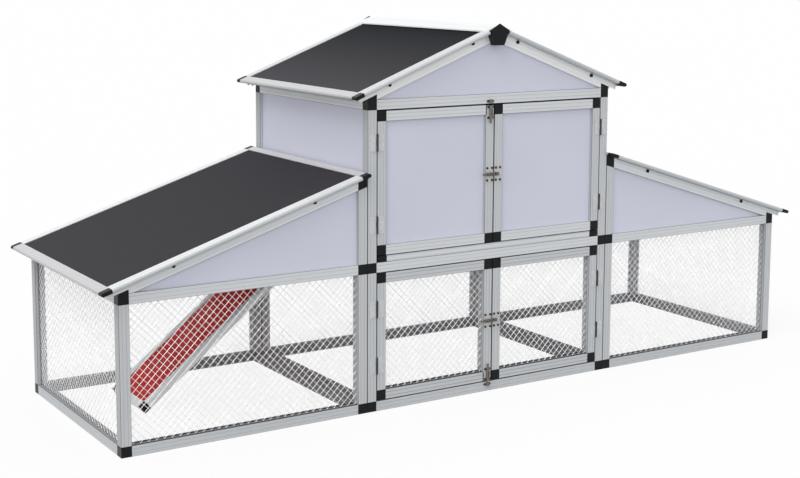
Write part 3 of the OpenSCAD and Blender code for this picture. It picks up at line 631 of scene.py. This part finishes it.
def added(name: str, data: bpy.types.ID) -> bpy.types.Object:
    """Makes an object of some data and puts it in the scene.

    Args:
        name: The object's name.
        data: Its mesh, lamp or camera.

    Returns:
        The object, at the origin.
    """
    thing = bpy.data.objects.new(name, data)
    bpy.context.scene.collection.objects.link(thing)
    return thing


def stand(name: str, mesh: Mesh, finishes: Sequence[Finish], body: str, node: str = "") -> None:
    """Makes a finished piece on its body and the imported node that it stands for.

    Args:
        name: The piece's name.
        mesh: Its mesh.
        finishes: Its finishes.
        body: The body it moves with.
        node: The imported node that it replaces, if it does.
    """
    mesh.name = name
    for finish in finishes:
        mesh.materials.append(finish.material())
    piece = added(name, mesh)
    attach(piece, body)
    if node:
        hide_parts(node)
    LOG.info("%s: %s faces, on %s", name, len(mesh.polygons), body)


def dress(finish: Finish, *nodes: str) -> None:
    """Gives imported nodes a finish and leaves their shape.

    Args:
        finish: The finish.
        nodes: The nodes' names.
    """
    for name in nodes:
        for place in frame["nodes"][name].material_slots:
            place.material = finish.material()
        LOG.info("%s: packed shape, %s", name, finish.name)


def merged(node: str) -> Shape:
    """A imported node's shape with its loose triangles joined.

    Args:
        node: The node's name.

    Returns:
        The joined shape.
    """
    shape = bmesh.new()
    shape.from_mesh(frame["nodes"][node].data)
    bmesh.ops.remove_doubles(shape, verts=shape.verts, dist=WELD)
    return shape


def settled(shape: Shape) -> Mesh:
    """Turns a shape into a mesh and frees it.

    Args:
        shape: The shape.

    Returns:
        The mesh.
    """
    mesh = bpy.data.meshes.new("piece")
    shape.to_mesh(mesh)
    shape.free()
    return mesh


def gather(whole: Shape, mesh: Mesh) -> None:
    """Adds a mesh to a shape and removes it."""
    whole.from_mesh(mesh)
    bpy.data.meshes.remove(mesh)


def islands(shape: Shape) -> Iterator[list[Face]]:
    """The separate bodies of a shape.

    Args:
        shape: The joined shape.

    Returns:
        The faces of each body in turn.
    """
    shape.faces.index_update()
    shape.verts.index_update()
    seen: set[int] = set()
    for seed in shape.faces:
        if seed.index in seen:
            continue
        seen.add(seed.index)
        found, front = [], [seed]
        while front:
            face = front.pop()
            found.append(face)
            shared = [edge for edge in face.edges if edge.is_manifold]
            for other in (other for edge in shared for other in edge.link_faces):
                if other.index not in seen:
                    seen.add(other.index)
                    front.append(other)
        yield found


def lone(faces: Sequence[Face]) -> Shape:
    """One body of a shape as a shape of its own.

    Args:
        faces: The body's faces.

    Returns:
        The new shape.
    """
    shape = bmesh.new()
    known: dict[int, bmesh.types.BMVert] = {}
    for face in faces:
        for vert in face.verts:
            if vert.index not in known:
                known[vert.index] = shape.verts.new(vert.co)
        shape.faces.new([known[vert.index] for vert in face.verts])
    shape.normal_update()
    return shape


@dataclass(frozen=True)
class BarSide:
    """One long side of a bar: the way it looks, the way across it, its middles and its half sizes."""

    way: Vector
    other: Vector
    middle: float
    other_middle: float
    half: float
    other_half: float

    def height(self, place: Vector) -> float:
        """How far a place lies out from the bar's middle line towards this side."""
        return place.dot(self.way) - self.middle

    def across(self, place: Vector) -> float:
        """How far a place lies from the middle of this side, across the bar."""
        return place.dot(self.other) - self.other_middle

    def carries(self, place: Vector, edge: float) -> bool:
        """Whether a place lies on this side's face, clear of its edges."""
        inside = abs(self.across(place)) < self.other_half - edge
        return inside and self.height(place) > self.half - edge


@dataclass(frozen=True)
class BarStock:
    """Drawn bars: finds each bar's run, scores its faces, lays strips of painted shade along its mesh bays,
    gives its faces zones of painted light and shade, and marks its grain.
    """

    score_half: float = 0.0009
    score_deep: float = 0.0006
    score_least: float = 0.03
    score_near: float = 2e-5
    cut_near: float = 1e-7
    groove_deep: float = 0.006
    groove_near: float = 5e-5
    groove_along: float = 0.99
    edge: float = 0.0012
    mesh_top: float = 0.468
    along: float = 0.7
    least_slope: float = 0.1
    room_least: float = 0.05

    def axes(self, shape: Shape) -> tuple[Vector, Vector, Vector]:
        """The axis of a bar and the two directions of its sides.

        Args:
            shape: The bar.

        Returns:
            The axis, and the directions across it.
        """
        plain = shape.copy()
        bmesh.ops.dissolve_limit(plain, angle_limit=FLAT, verts=plain.verts, edges=plain.edges)
        plain.normal_update()
        longest = max(plain.edges, key=lambda edge: edge.calc_length())
        axis = (longest.verts[1].co - longest.verts[0].co).normalized()
        sides = [face for face in plain.faces if abs(face.normal.dot(axis)) < FLAT]
        first = max(sides, key=lambda face: face.calc_area()).normal.copy()
        plain.free()
        if first.z < 0:
            first.negate()
        return axis, first, axis.cross(first)

    def sides(self, shape: Shape, first: Vector, second: Vector) -> list[BarSide]:
        """The four long sides of a bar, each pair of opposite ones in turn.

        Args:
            shape: The bar.
            first: One direction across it.
            second: The other direction across it.

        Returns:
            The sides that look along the first direction and against it, then those of the second.
        """
        spans = [[vert.co.dot(way) for vert in shape.verts] for way in (first, second)]
        middles = [(min(span) + max(span)) / 2 for span in spans]
        halves = [(max(span) - min(span)) / 2 for span in spans]
        found = []
        for way, other, here, there in ((first, second, 0, 1), (second, first, 1, 0)):
            for sign in (1, -1):
                sizes = (sign * middles[here], middles[there], halves[here], halves[there])
                found.append(BarSide(sign * way, other, *sizes))
        return found

    def grooved(self, shape: Shape, side: BarSide) -> bool:
        """Whether a side has the groove that holds an infill.

        Args:
            shape: The bar.
            side: The side.

        Returns:
            True where the groove's floor is found.
        """
        floor = side.half - self.groove_deep
        return any(
            face.normal.dot(side.way) > self.groove_along
            and abs(side.height(face.calc_center_median()) - floor) < self.groove_near
            for face in shape.faces
        )

    def mark(
        self, shape: Shape, axis: Vector, bed: BarSide | None, middle: Vector, rim_shaded: bool
    ) -> None:
        """Gives each face of a bar the number of its zone, which picks the painted light or shade that it
        takes.

        Args:
            shape: The bar.
            axis: Its axis.
            bed: Its upper side, where that holds a mesh and a strip of painted shade lies on it at the
                front.
            middle: The middle of the frame that it belongs to.
            rim_shaded: Whether painted shade runs round the frame's outer edge, in the gaps round a door.
        """
        height = max(vert.co.z for vert in shape.verts)
        upright = abs(axis.z) > self.along
        inner = BarZone.INNER_POST if upright else BarZone.INNER
        own = BarZone.OUTER
        if self.least_slope < abs(axis.z) < self.along:
            own = BarZone.SLOPED
        elif abs(axis.z) < self.along and height > self.mesh_top:
            own = BarZone.EAVE if abs(axis.y) > self.along else BarZone.LEVEL
        for face in shape.faces:
            spot = face.calc_center_median()
            inward = (middle - spot).dot(face.normal)
            rim = rim_shaded and inward < -self.room_least and abs(face.normal.y) < self.along
            inside = inward > self.room_least and spot.z < self.mesh_top
            zone = inner if inside else own
            # Painted shade: the dark strip on the front rails' upper faces under the mesh and on the doors'
            # outer sides.
            if rim or inside and bed and spot.y < 0 and bed.carries(spot, self.edge):
                zone = BarZone.BEAD
            elif upright and not inside and abs(face.normal.x) > self.along:
                zone = BarZone.POST_SIDE
            face.material_index = zone.value

    def score(self, shape: Shape, side: BarSide) -> None:
        """Scores two lines on a side and on the one opposite.

        Args:
            shape: The bar.
            side: The side.
        """
        near = self.score_near
        for out in (-SCORE_OUT, SCORE_OUT):
            for step in (-self.score_half, 0.0, self.score_half):
                geometry = [*shape.verts, *shape.edges, *shape.faces]
                point = side.other * (side.other_middle + out + step)
                bmesh.ops.bisect_plane(
                    shape, geom=geometry, dist=self.cut_near, plane_co=point, plane_no=side.other
                )
            for vert in shape.verts:
                height = side.height(vert.co)
                if abs(abs(height) - side.half) < near and abs(side.across(vert.co) - out) < near:
                    vert.co -= side.way * math.copysign(self.score_deep, height)

    def build(
        self,
        name: str,
        node: str,
        finishes: BarDress = FRAME_DRESS,
        scored: bool = True,
        rim_shaded: bool = False,
    ) -> None:
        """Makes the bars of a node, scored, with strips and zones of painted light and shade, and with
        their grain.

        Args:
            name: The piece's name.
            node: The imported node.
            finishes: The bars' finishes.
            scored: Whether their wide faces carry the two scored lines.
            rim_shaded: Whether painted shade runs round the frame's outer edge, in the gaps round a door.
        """
        low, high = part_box(node)
        middle = (low + high) / 2
        bars = bmesh.new()
        whole = merged(node)
        for faces in islands(whole):
            shape = lone(faces)
            axis, first, second = self.axes(shape)
            sides = self.sides(shape, first, second)
            top = max(sides, key=lambda side: side.way.z)
            bed = top if abs(axis.x) > self.along and self.grooved(shape, top) else None
            up, across = sides[::2]
            for side in (up, across):
                if scored and 2 * side.other_half >= self.score_least:
                    self.score(shape, side)
            grain = shape.verts.layers.float_vector.new(GRAIN)
            for vert in shape.verts:
                vert[grain] = (vert.co.dot(axis), up.height(vert.co), across.height(vert.co))
            shape.normal_update()
            self.mark(shape, axis, bed, middle, rim_shaded)
            gather(bars, settled(shape))
        whole.free()
        stand(name, settled(bars), finishes.finishes(), NODE_BODY[node], node)


@dataclass(frozen=True)
class Moulding:
    """Moulded pieces: their corners are rounded as they leave the mould."""

    radius: float = 0.0014
    steps: int = 2
    roundness: float = 0.5
    least_angle: float = math.radians(25)
    finish: Finish = BLACK

    def build(self, name: str, node: str) -> None:
        """Makes a node's pieces with rounded corners.

        Args:
            name: The piece's name.
            node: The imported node.
        """
        shape = merged(node)
        bmesh.ops.dissolve_limit(shape, angle_limit=FLAT, verts=shape.verts, edges=shape.edges)
        shared = [edge for edge in shape.edges if edge.is_manifold]
        corners = [edge for edge in shared if edge.calc_face_angle() > self.least_angle]
        bmesh.ops.bevel(
            shape, geom=corners, offset=self.radius, segments=self.steps, profile=self.roundness,
            affect="EDGES", clamp_overlap=True,
        )
        stand(name, settled(shape), (self.finish,), NODE_BODY[node], node)


class GeometryTree(NodeTree):
    """A geometry tree with named inputs, built up by short calls."""

    def __init__(self, name: str, inputs: dict[str, str]) -> None:
        """Makes the tree with its inputs and its one output.

        Args:
            name: The tree's name.
            inputs: The kind of socket for each named input.
        """
        super().__init__(bpy.data.node_groups.new(name, "GeometryNodeTree"))
        sockets = self.tree.interface
        sockets.new_socket("Geometry", in_out="INPUT", socket_type="NodeSocketGeometry")
        self.keys = {
            label: sockets.new_socket(label, in_out="INPUT", socket_type=f"NodeSocket{kind}").identifier
            for label, kind in inputs.items()
        }
        sockets.new_socket("Geometry", in_out="OUTPUT", socket_type="NodeSocketGeometry")
        self.start = self.node("NodeGroupInput", {})
        self.end = self.node("NodeGroupOutput", {})

    def given(self, *labels: str) -> list[Socket]:
        """The values of named inputs."""
        return [self.start.outputs[label] for label in labels]

    def point(self, x: object, y: object, z: object) -> Socket:
        """Three values as one place."""
        return self.made("ShaderNodeCombineXYZ", {"X": x, "Y": y, "Z": z})

    def close(self, geometry: Socket) -> None:
        """Ends the tree with what it has made, its instances made real."""
        self.plug(self.end.inputs[0], self.made("GeometryNodeRealizeInstances", {"Geometry": geometry}))

    def grow(self, base: Mesh, values: dict[str, object]) -> Mesh:
        """Runs the tree on a mesh and gives the result as a plain mesh.

        Args:
            base: The mesh that the tree starts from.
            values: The values of its named inputs.

        Returns:
            The plain mesh.
        """
        carrier = added("carrier", base)
        modifier = carrier.modifiers.new("grow", "NODES")
        modifier.node_group = self.tree
        for label, value in values.items():
            modifier[self.keys[label]] = value
        depsgraph = bpy.context.evaluated_depsgraph_get()
        mesh = bpy.data.meshes.new_from_object(carrier.evaluated_get(depsgraph))
        bpy.data.objects.remove(carrier)
        mesh.materials.clear()
        return mesh


class WireTree(GeometryTree):
    """Two layers of straight wires that cross at 45 degrees, cut to a rectangle."""

    def __init__(self) -> None:
        """Builds the tree, with its sizes as named inputs."""
        sizes = dict.fromkeys(("Width", "Height", "Pitch", "Wire Radius"), "Float")
        super().__init__("crossed_wires", {**sizes, "Wire Sides": "Int"})
        width, height, pitch, radius, sides = self.given(*self.keys)
        first_step, weld_share = 0.5, 1.8
        count = self.sum("FLOOR", self.sum("DIVIDE", self.sum("ADD", width, height), pitch))
        index = self.made("GeometryNodeInputIndex", {})
        step = self.sum("MULTIPLY", self.sum("ADD", index, first_step), pitch)
        foot = self.sum("SUBTRACT", step, height)
        low_x = self.sum("MAXIMUM", foot)
        low_z = self.sum("MAXIMUM", self.sum("MULTIPLY", foot, -1.0))
        run = self.sum("SUBTRACT", self.sum("MINIMUM", step, width), low_x)
        line = self.made("GeometryNodeMeshLine", {"Count": count}, mode="OFFSET", count_mode="TOTAL")
        low = self.point(low_x, 0.0, low_z)
        starts = self.made("GeometryNodeSetPosition", {"Geometry": line, "Position": low})
        ends = {"Start": (0.0, 0.0, 0.0), "End": (1.0, 0.0, 1.0)}
        rod = self.made("GeometryNodeCurvePrimitiveLine", ends, mode="POINTS")
        each = {"Points": starts, "Instance": rod, "Scale": self.point(run, 1.0, run)}
        rods = self.made("GeometryNodeInstanceOnPoints", each)
        rising = self.made("GeometryNodeRealizeInstances", {"Geometry": rods})
        behind = self.point(width, self.sum("MULTIPLY", radius, weld_share), 0.0)
        mirrored = {"Geometry": rising, "Translation": behind, "Scale": (-1.0, 1.0, 1.0)}
        falling = self.made("GeometryNodeTransform", mirrored)
        both = self.node("GeometryNodeJoinGeometry", {})
        for layer in (falling, rising):
            self.plug(both.inputs[0], layer)
        even = self.made("GeometryNodeSetCurveRadius", {"Curve": both.outputs[0], "Radius": 1.0})
        hoop = {"Resolution": sides, "Radius": radius}
        ring = self.made("GeometryNodeCurvePrimitiveCircle", hoop, mode="RADIUS")
        swept = {"Curve": even, "Profile Curve": ring, "Fill Caps": True}
        self.close(self.made("GeometryNodeCurveToMesh", swept))


@dataclass
class WireNet:
    """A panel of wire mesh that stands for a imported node."""

    pitch: float = 0.0257
    wire_radius: float = 0.00078
    wire_sides: int = 6
    sheet: float = 0.003
    tree: WireTree = field(default_factory=WireTree)

    def panel(self, low: Vector, high: Vector, across_x: bool) -> Mesh:
        """One panel of wires between two corners.

        Args:
            low: The panel's low corner.
            high: Its high corner.
            across_x: Whether the panel runs along X, and not along Y.

        Returns:
            The panel's mesh, in its place.
        """
        along = Vector((1, 0, 0)) if across_x else Vector((0, 1, 0))
        deep = Vector((0, 1, 0)) if across_x else Vector((-1, 0, 0))
        up = Vector((0, 0, 1))
        size = high - low
        width = size.dot(along)
        middle = (low + high) / 2
        start = middle - along * (width / 2) - up * (size.z / 2) - deep * self.wire_radius
        values = {
            "Width": width,
            "Height": size.z,
            "Pitch": self.pitch,
            "Wire Radius": self.wire_radius,
            "Wire Sides": self.wire_sides,
        }
        mesh = self.tree.grow(bpy.data.meshes.new("wires"), values)
        turn = Matrix((along, deep, up)).transposed().to_4x4()
        mesh.transform(Matrix.Translation(start) @ turn)
        return mesh

    def build(self, name: str, node: str) -> None:
        """Makes the wires of a mesh node, one panel or a front and a back one.

        Args:
            name: The piece's name.
            node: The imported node.
        """
        low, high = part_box(node)
        across_x, across_y = (side > 2 * self.sheet for side in (high - low).xy)
        spans = [(low, high)]
        if across_x and across_y:
            front_high, back_low = high.copy(), low.copy()
            front_high.y = low.y + self.sheet
            back_low.y = high.y - self.sheet
            spans = [(low, front_high), (back_low, high)]
        shape = bmesh.new()
        for span in spans:
            gather(shape, self.panel(*span, across_x))
        bmesh.ops.recalc_face_normals(shape, faces=shape.faces)
        stand(name, settled(shape), (WIRE,), NODE_BODY[node], node)


class ScrewTree(GeometryTree):
    """A screw head on every point of a mesh, turned to face one way."""

    def __init__(self) -> None:
        """Builds the tree, with the head, its size and its facing as named inputs."""
        super().__init__("screw_heads", {"Head": "Object", "Head Radius": "Float", "Facing": "Vector"})
        spots, head, radius, facing = self.given("Geometry", *self.keys)
        shape = self.node("GeometryNodeObjectInfo", {"Object": head, "As Instance": True})
        heads = {
            "Points": self.made("GeometryNodeMeshToPoints", {"Mesh": spots}),
            "Instance": shape.outputs["Geometry"],
            "Rotation": self.made("FunctionNodeAlignRotationToVector", {"Vector": facing}, axis="Z"),
            "Scale": self.point(radius, radius, radius),
        }
        self.close(self.made("GeometryNodeInstanceOnPoints", heads))


@dataclass
class Screws:
    """Pan-head screws: one head turned from rings, set wherever a plate is held."""

    leaf_radius: float = 0.0024
    plate_radius: float = 0.0045
    sides: int = 12
    rings: tuple[Span, ...] = ((1.0, 0.0), (1.0, 0.22), (0.86, 0.46), (0.56, 0.6), (0.4, 0.62), (0.34, 0.3))
    facing: Triple = (0.0, -1.0, 0.0)
    tree: ScrewTree = field(default_factory=ScrewTree)

    def head(self) -> bpy.types.Object:
        """One screw head of unit radius, with a socket in its crown.

        Returns:
            The head as an object of its own.
        """
        shape = bmesh.new()
        turns = [2 * math.pi * step / self.sides for step in range(self.sides)]
        hoops = [
            [shape.verts.new((out * math.cos(turn), out * math.sin(turn), up)) for turn in turns]
            for out, up in self.rings
        ]
        for below, above in zip(hoops, hoops[1:]):
            for step in range(self.sides):
                following = (step + 1) % self.sides
                shape.faces.new((below[step], below[following], above[following], above[step]))
        shape.faces.new(hoops[-1])
        shape.faces.new(list(reversed(hoops[0])))
        return added("screw_head", settled(shape))

    def build(self, name: str, body: str, places: Sequence[Vector], radius: float, finish: Finish) -> None:
        """Sets a head at each place, facing the front.

        Args:
            name: The piece's name.
            body: The body that carries the screws.
            places: The middles of the heads' undersides.
            radius: The heads' radius.
            finish: The screws' finish.
        """
        points = bpy.data.meshes.new("screw_places")
        points.from_pydata([tuple(place) for place in places], [], [])
        head = self.head()
        mesh = self.tree.grow(points, {"Head": head, "Head Radius": radius, "Facing": self.facing})
        bpy.data.objects.remove(head)
        stand(name, mesh, (finish,), body)


@dataclass(frozen=True)
class Metalwork:
    """Hinge leaves and door bolts: pale leaves, dull plates, dark knuckles and barrels."""

    pin_x: float = 0.466
    pin_y: float = -0.4038
    knuckle: float = 0.0037
    leaf_from: float = 0.4
    plate_y: float = -0.4022
    face_y: float = -0.402
    screws_z: Triple = (-0.02, 0.0, 0.02)
    screw_out: float = 0.0155
    finishes: tuple[Finish, ...] = (STEEL, TURNED, PLATE, BARREL)

    def zone(self, place: Vector) -> Zone:
        """The zone that a place on the metalwork belongs to.

        Args:
            place: The place.

        Returns:
            Its zone.
        """
        if math.hypot(abs(place.x) - self.pin_x, place.y - self.pin_y) < self.knuckle:
            return Zone.KNUCKLE
        if abs(place.x) > self.leaf_from:
            return Zone.LEAF
        return Zone.BARREL if place.y < self.plate_y else Zone.PLATE

    def build(self, name: str, node: str) -> None:
        """Makes a node's metalwork with a finish for each zone.

        Args:
            name: The piece's name.
            node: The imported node.
        """
        shape = merged(node)
        for face in shape.faces:
            face.material_index = self.zone(face.calc_center_median()).value
        stand(name, settled(shape), self.finishes, NODE_BODY[node], node)

    def leaf_places(self, node: str) -> list[Vector]:
        """The screws' places on a node's hinge leaves.

        Args:
            node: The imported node.

        Returns:
            The places, on the leaves' faces.
        """
        places = []
        shape = merged(node)
        for faces in islands(shape):
            spots = [vert.co for face in faces for vert in face.verts]
            middle = Vector([(min(line) + max(line)) / 2 for line in zip(*spots)])
            if abs(middle.x) < self.leaf_from:
                continue
            pin = math.copysign(self.pin_x, middle.x)
            x = pin + math.copysign(self.screw_out, middle.x - pin)
            places.extend(Vector((x, self.face_y, middle.z + up)) for up in self.screws_z)
        shape.free()
        return places

    def plate_places(self, x: float, z: float, out: Span) -> list[Vector]:
        """The four screws' places on a plate, out both ways from its middle."""
        return [Vector((x + a * out[0], self.face_y, z + b * out[1])) for b in (-1, 1) for a in (-1, 1)]


@dataclass
class Kit:
    """The ways of making that all sub-assemblies share."""

    bars: BarStock = field(default_factory=BarStock)
    mouldings: Moulding = field(default_factory=Moulding)
    net: WireNet = field(default_factory=WireNet)
    screws: Screws = field(default_factory=Screws)
    metalwork: Metalwork = field(default_factory=Metalwork)


@dataclass
class Run:
    """One mesh run: its bars, corner blocks, wire panels and solid panels."""

    kit: Kit
    side: Side

    def build(self) -> None:
        """Makes and dresses the run's pieces."""
        word = f"{self.side.value}_run"
        self.kit.bars.build(f"{word}_bars", f"{word}_frame")
        self.kit.mouldings.build(f"{word}_corner_blocks", f"{word}_connectors")
        self.kit.net.build(f"{word}_side_wires", f"{word}_side_meshes")
        self.kit.net.build(f"{word}_end_wires", f"{word}_end_mesh")
        dress(PANEL, f"{word}_panels")


@dataclass
class Roofs:
    """The three roofs: sheets, trims with their end caps, the ridge and the roof bolts."""

    kit: Kit
    bolt_moulding: Moulding = Moulding(radius=0.001)

    def build(self) -> None:
        """Makes and dresses the roofs' pieces."""
        for side in Side:
            word = f"{side.value}_run_roof"
            dress(RUN_ROOF, f"{word}_sheet")
            self.kit.bars.build(f"{word}_edging", f"{word}_trim", TRIM_DRESS)
        dress(TOWER_ROOF, "tower_roof_sheets")
        self.kit.bars.build("tower_roof_edging", "tower_roof_trim", TOWER_TRIM_DRESS)
        self.kit.bars.build("ridge_cover", "ridge_cap", PALE_LIT_DRESS, scored=False)
        self.kit.mouldings.build("ridge_ends", "ridge_end_caps")
        self.kit.mouldings.build("edging_caps", "roof_end_caps")
        self.bolt_moulding.build("roof_bolt_heads", "roof_bolts")


@dataclass
class Tower:
    """The coop tower's own frame, walls and fixed metalwork."""

    kit: Kit
    keeper_screw_out: float = 0.0102
    keeper_half: float = 0.006

    def keeper_places(self) -> list[Vector]:
        """The screws' places on the two keepers of the upright bolts.

        Returns:
            The places, on the keepers' faces.
        """
        low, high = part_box("bolt_keepers")
        middle = (low.x + high.x) / 2
        return [
            Vector((middle + out, self.kit.metalwork.face_y, z))
            for z in (low.z + self.keeper_half, high.z - self.keeper_half)
            for out in (-self.keeper_screw_out, self.keeper_screw_out)
        ]

    def build(self) -> None:
        """Makes and dresses the tower's fixed pieces."""
        self.kit.bars.build("tower_bars", "tower_frame", TOWER_DRESS)
        self.kit.mouldings.build("tower_corner_blocks", "tower_connectors")
        self.kit.net.build("tower_back_wires", "tower_back_mesh")
        dress(PANEL, "tower_left_wall", "tower_right_wall", "tower_back_wall", "gable_panels")
        dress(STEEL, "ramp_brackets", "ramp_pins")
        dress(TURNED, "hinge_pins")
        self.kit.bars.build("tray_runner_angles", "tray_runners", scored=False)
        self.kit.metalwork.build("post_hinge_leaves", "frame_hinge_leaves")
        self.kit.metalwork.build("rail_keepers", "bolt_keepers")
        screws = self.kit.screws
        leaves = self.kit.metalwork.leaf_places("frame_hinge_leaves")
        screws.build("post_leaf_screws", "frame", leaves, screws.leaf_radius, STEEL)
        screws.build("rail_keeper_screws", "frame", self.keeper_places(), screws.plate_radius, TURNED)


@dataclass
class Door:
    """One of the four doors: bars, corner blocks, its panel or wires, hinge leaves and bolts."""

    kit: Kit
    level: Level
    side: Side
    upright_screws: Span = (0.009, 0.018)
    level_screws: Span = (0.01, 0.021)
    keeper_screws: Span = (0.0085, 0.021)
    stile_x: float = -0.0185
    keeper_x: float = 0.0165
    upper_upright_z: float = 0.9715
    lower_upright_z: float = 0.061

    @property
    def word(self) -> str:
        """The start of the names of the door's nodes and pieces."""
        return f"{self.level.value}_{self.side.value}_door"

    def plate_places(self) -> list[Vector]:
        """The screws' places on the door's bolt plates or its keeper.

        Returns:
            The places, on the plates' faces.
        """
        low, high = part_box(f"{self.word}_frame")
        middle = (low.z + high.z) / 2
        places = self.kit.metalwork.plate_places
        if self.side is Side.RIGHT:
            return places(self.keeper_x, middle, self.keeper_screws)
        upright_z = self.upper_upright_z if self.level is Level.UPPER else self.lower_upright_z
        upright = places(self.stile_x, upright_z, self.upright_screws)
        return upright + places(self.stile_x, middle, self.level_screws)

    def build(self) -> None:
        """Makes and dresses the door's pieces."""
        word = self.word
        self.kit.bars.build(f"{word}_bars", f"{word}_frame", rim_shaded=True)
        self.kit.mouldings.build(f"{word}_corner_blocks", f"{word}_connectors")
        if self.level is Level.UPPER:
            dress(PANEL, f"{word}_panel")
        else:
            self.kit.net.build(f"{word}_wires", f"{word}_mesh")
        self.kit.metalwork.build(f"{word}_metalwork", f"{word}_hardware")
        screws = self.kit.screws
        leaves = self.kit.metalwork.leaf_places(f"{word}_hardware")
        screws.build(f"{word}_leaf_screws", word, leaves, screws.leaf_radius, STEEL)
        screws.build(f"{word}_plate_screws", word, self.plate_places(), screws.plate_radius, TURNED)


@dataclass
class BoltRods:
    """The sliding rods of the four door bolts."""

    finish: Finish = BARREL

    def build(self) -> None:
        """Dresses the rods."""
        for level in Level:
            dress(self.finish, f"{level.value}_upright_rod", f"{level.value}_level_rod")


@dataclass
class FloorTray:
    """The pull-out floor tray with its front bar and black ends."""

    kit: Kit

    def build(self) -> None:
        """Makes and dresses the tray's pieces."""
        dress(TRAY, "floor_tray")
        self.kit.bars.build("tray_front", "tray_front_bar", scored=False)
        self.kit.mouldings.build("tray_ends", "tray_end_caps")


@dataclass
class Ramp:
    """The ramp inside the left run: bars, corner blocks and red tread."""

    kit: Kit

    def build(self) -> None:
        """Makes and dresses the ramp's pieces."""
        self.kit.bars.build("ramp_bars", "ramp_frame", PALE_LIT_DRESS, scored=False)
        self.kit.mouldings.build("ramp_corner_blocks", "ramp_corners")
        dress(TREAD, "ramp_tread")


@dataclass(frozen=True)
class Lamp:
    """A soft lamp from far off: its name, strength, the way its light goes and its spread."""

    name: str
    power: float
    way: Triple
    spread: float

    def build(self) -> None:
        """Hangs the lamp."""
        lamp = bpy.data.lights.new(self.name, "SUN")
        lamp.energy = self.power
        lamp.angle = self.spread
        holder = added(self.name, lamp)
        holder.rotation_euler = Vector(self.way).to_track_quat("-Z", "Y").to_euler()


@dataclass
class Studio:
    """Floor, light and camera: a plain white sweep under soft daylight."""

    lens: float = 64.741
    sensor: float = 36.0
    sight: float = 200.0
    yaw: float = 32.293
    pitch: float = -7.553
    roll: float = -0.239
    shift: float = -0.1
    place: Triple = (-2.8640, -4.3339, 1.4526)
    ambient: float = 0.62
    lamps: tuple[Lamp, ...] = (
        Lamp("soft_key", 1.2, (0.5, 0.25, -0.83), math.radians(35)),
        Lamp("front_fill", 1.1, (0.6, 0.78, -0.2), math.radians(60)),
    )
    floor_half: float = 60.0
    floor_drop: float = 0.0004
    floor_white: float = 0.95
    floor_bounce: float = 0.5
    floor_glow: float = 0.85

    def seen(self, tree: NodeTree) -> Socket:
        """One for what the camera, a gloss or glass sees, and nought for soft light.

        Args:
            tree: The node tree that reads it.

        Returns:
            The share.
        """
        path = tree.node("ShaderNodeLightPath", {})
        total = path.outputs["Is Camera Ray"]
        for name in ("Is Glossy Ray", "Is Transmission Ray"):
            total = tree.sum("MAXIMUM", total, path.outputs[name])
        return total

    def light(self) -> None:
        """Makes the even sky and hangs the lamps."""
        world = bpy.data.worlds.new("white_sky")
        world.use_nodes = True
        bpy.context.scene.world = world
        tree = NodeTree(world.node_tree)
        sky = world.node_tree.nodes["Background"]
        level = tree.made("ShaderNodeMapRange", {"Value": self.seen(tree), "To Min": self.ambient})
        tree.plug(sky.inputs["Color"], WHITE)
        tree.plug(sky.inputs["Strength"], level)
        for lamp in self.lamps:
            lamp.build()

    def floor(self) -> None:
        """Makes the pale floor: white with its shadow where it is seen, greyer as a source of light."""
        half = self.floor_half
        mesh = bpy.data.meshes.new("floor")
        corners = [(-half, -half), (half, -half), (half, half), (-half, half)]
        mesh.from_pydata([(x, y, -self.floor_drop) for x, y in corners], [], [(0, 1, 2, 3)])
        look = ShaderTree("white_floor")
        look.tree.nodes.remove(look.shader)
        matt, dim = (
            look.made("ShaderNodeBsdfDiffuse", {"Color": shade(WHITE, share)})
            for share in (self.floor_white, self.floor_bounce)
        )
        glow = look.made("ShaderNodeEmission", {"Strength": 1.0})
        bright = look.made("ShaderNodeMixShader", {0: self.floor_glow, 1: matt, 2: glow})
        mixed = look.made("ShaderNodeMixShader", {0: self.seen(look), 1: dim, 2: bright})
        look.plug(look.tree.nodes["Material Output"].inputs["Surface"], mixed)
        mesh.materials.append(look.material)
        floor = added("floor", mesh)

    def camera(self) -> None:
        """Sets the camera where the picture was taken from."""
        yaw, pitch, roll = (math.radians(angle) for angle in (self.yaw, self.pitch, self.roll))
        ahead = Vector((math.sin(yaw) * math.cos(pitch), math.cos(yaw) * math.cos(pitch), math.sin(pitch)))
        level = Vector((math.cos(yaw), -math.sin(yaw), 0.0))
        down = ahead.cross(level)
        right = math.cos(roll) * level + math.sin(roll) * down
        below = -math.sin(roll) * level + math.cos(roll) * down
        data = bpy.data.cameras.new("camera")
        data.lens = self.lens
        data.sensor_width = self.sensor
        data.shift_y = self.shift
        data.clip_end = self.sight
        camera = added("camera", data)
        turn = Matrix((right, -below, -ahead)).transposed().to_4x4()
        camera.matrix_world = Matrix.Translation(self.place) @ turn
        bpy.context.scene.camera = camera

    def build(self) -> None:
        """Sets up the floor, the light, the camera and the view."""
        self.light()
        self.floor()
        self.camera()
        bpy.context.scene.view_settings.view_transform = "Standard"


def main() -> None:
    """Builds the sub-assemblies in order and sets up the studio."""
    logging.basicConfig(level=logging.INFO, format="%(name)s: %(message)s")
    kit = Kit()
    parts = [Run(kit, side) for side in Side]
    parts += [Tower(kit), Roofs(kit)]
    parts += [Door(kit, level, side) for level in Level for side in Side]
    parts += [BoltRods(), FloorTray(kit), Ramp(kit)]
    Studio().build()
    for part in parts:
        LOG.info("building %s", type(part).__name__)
        part.build()


if __name__ == "__main__":
    main()
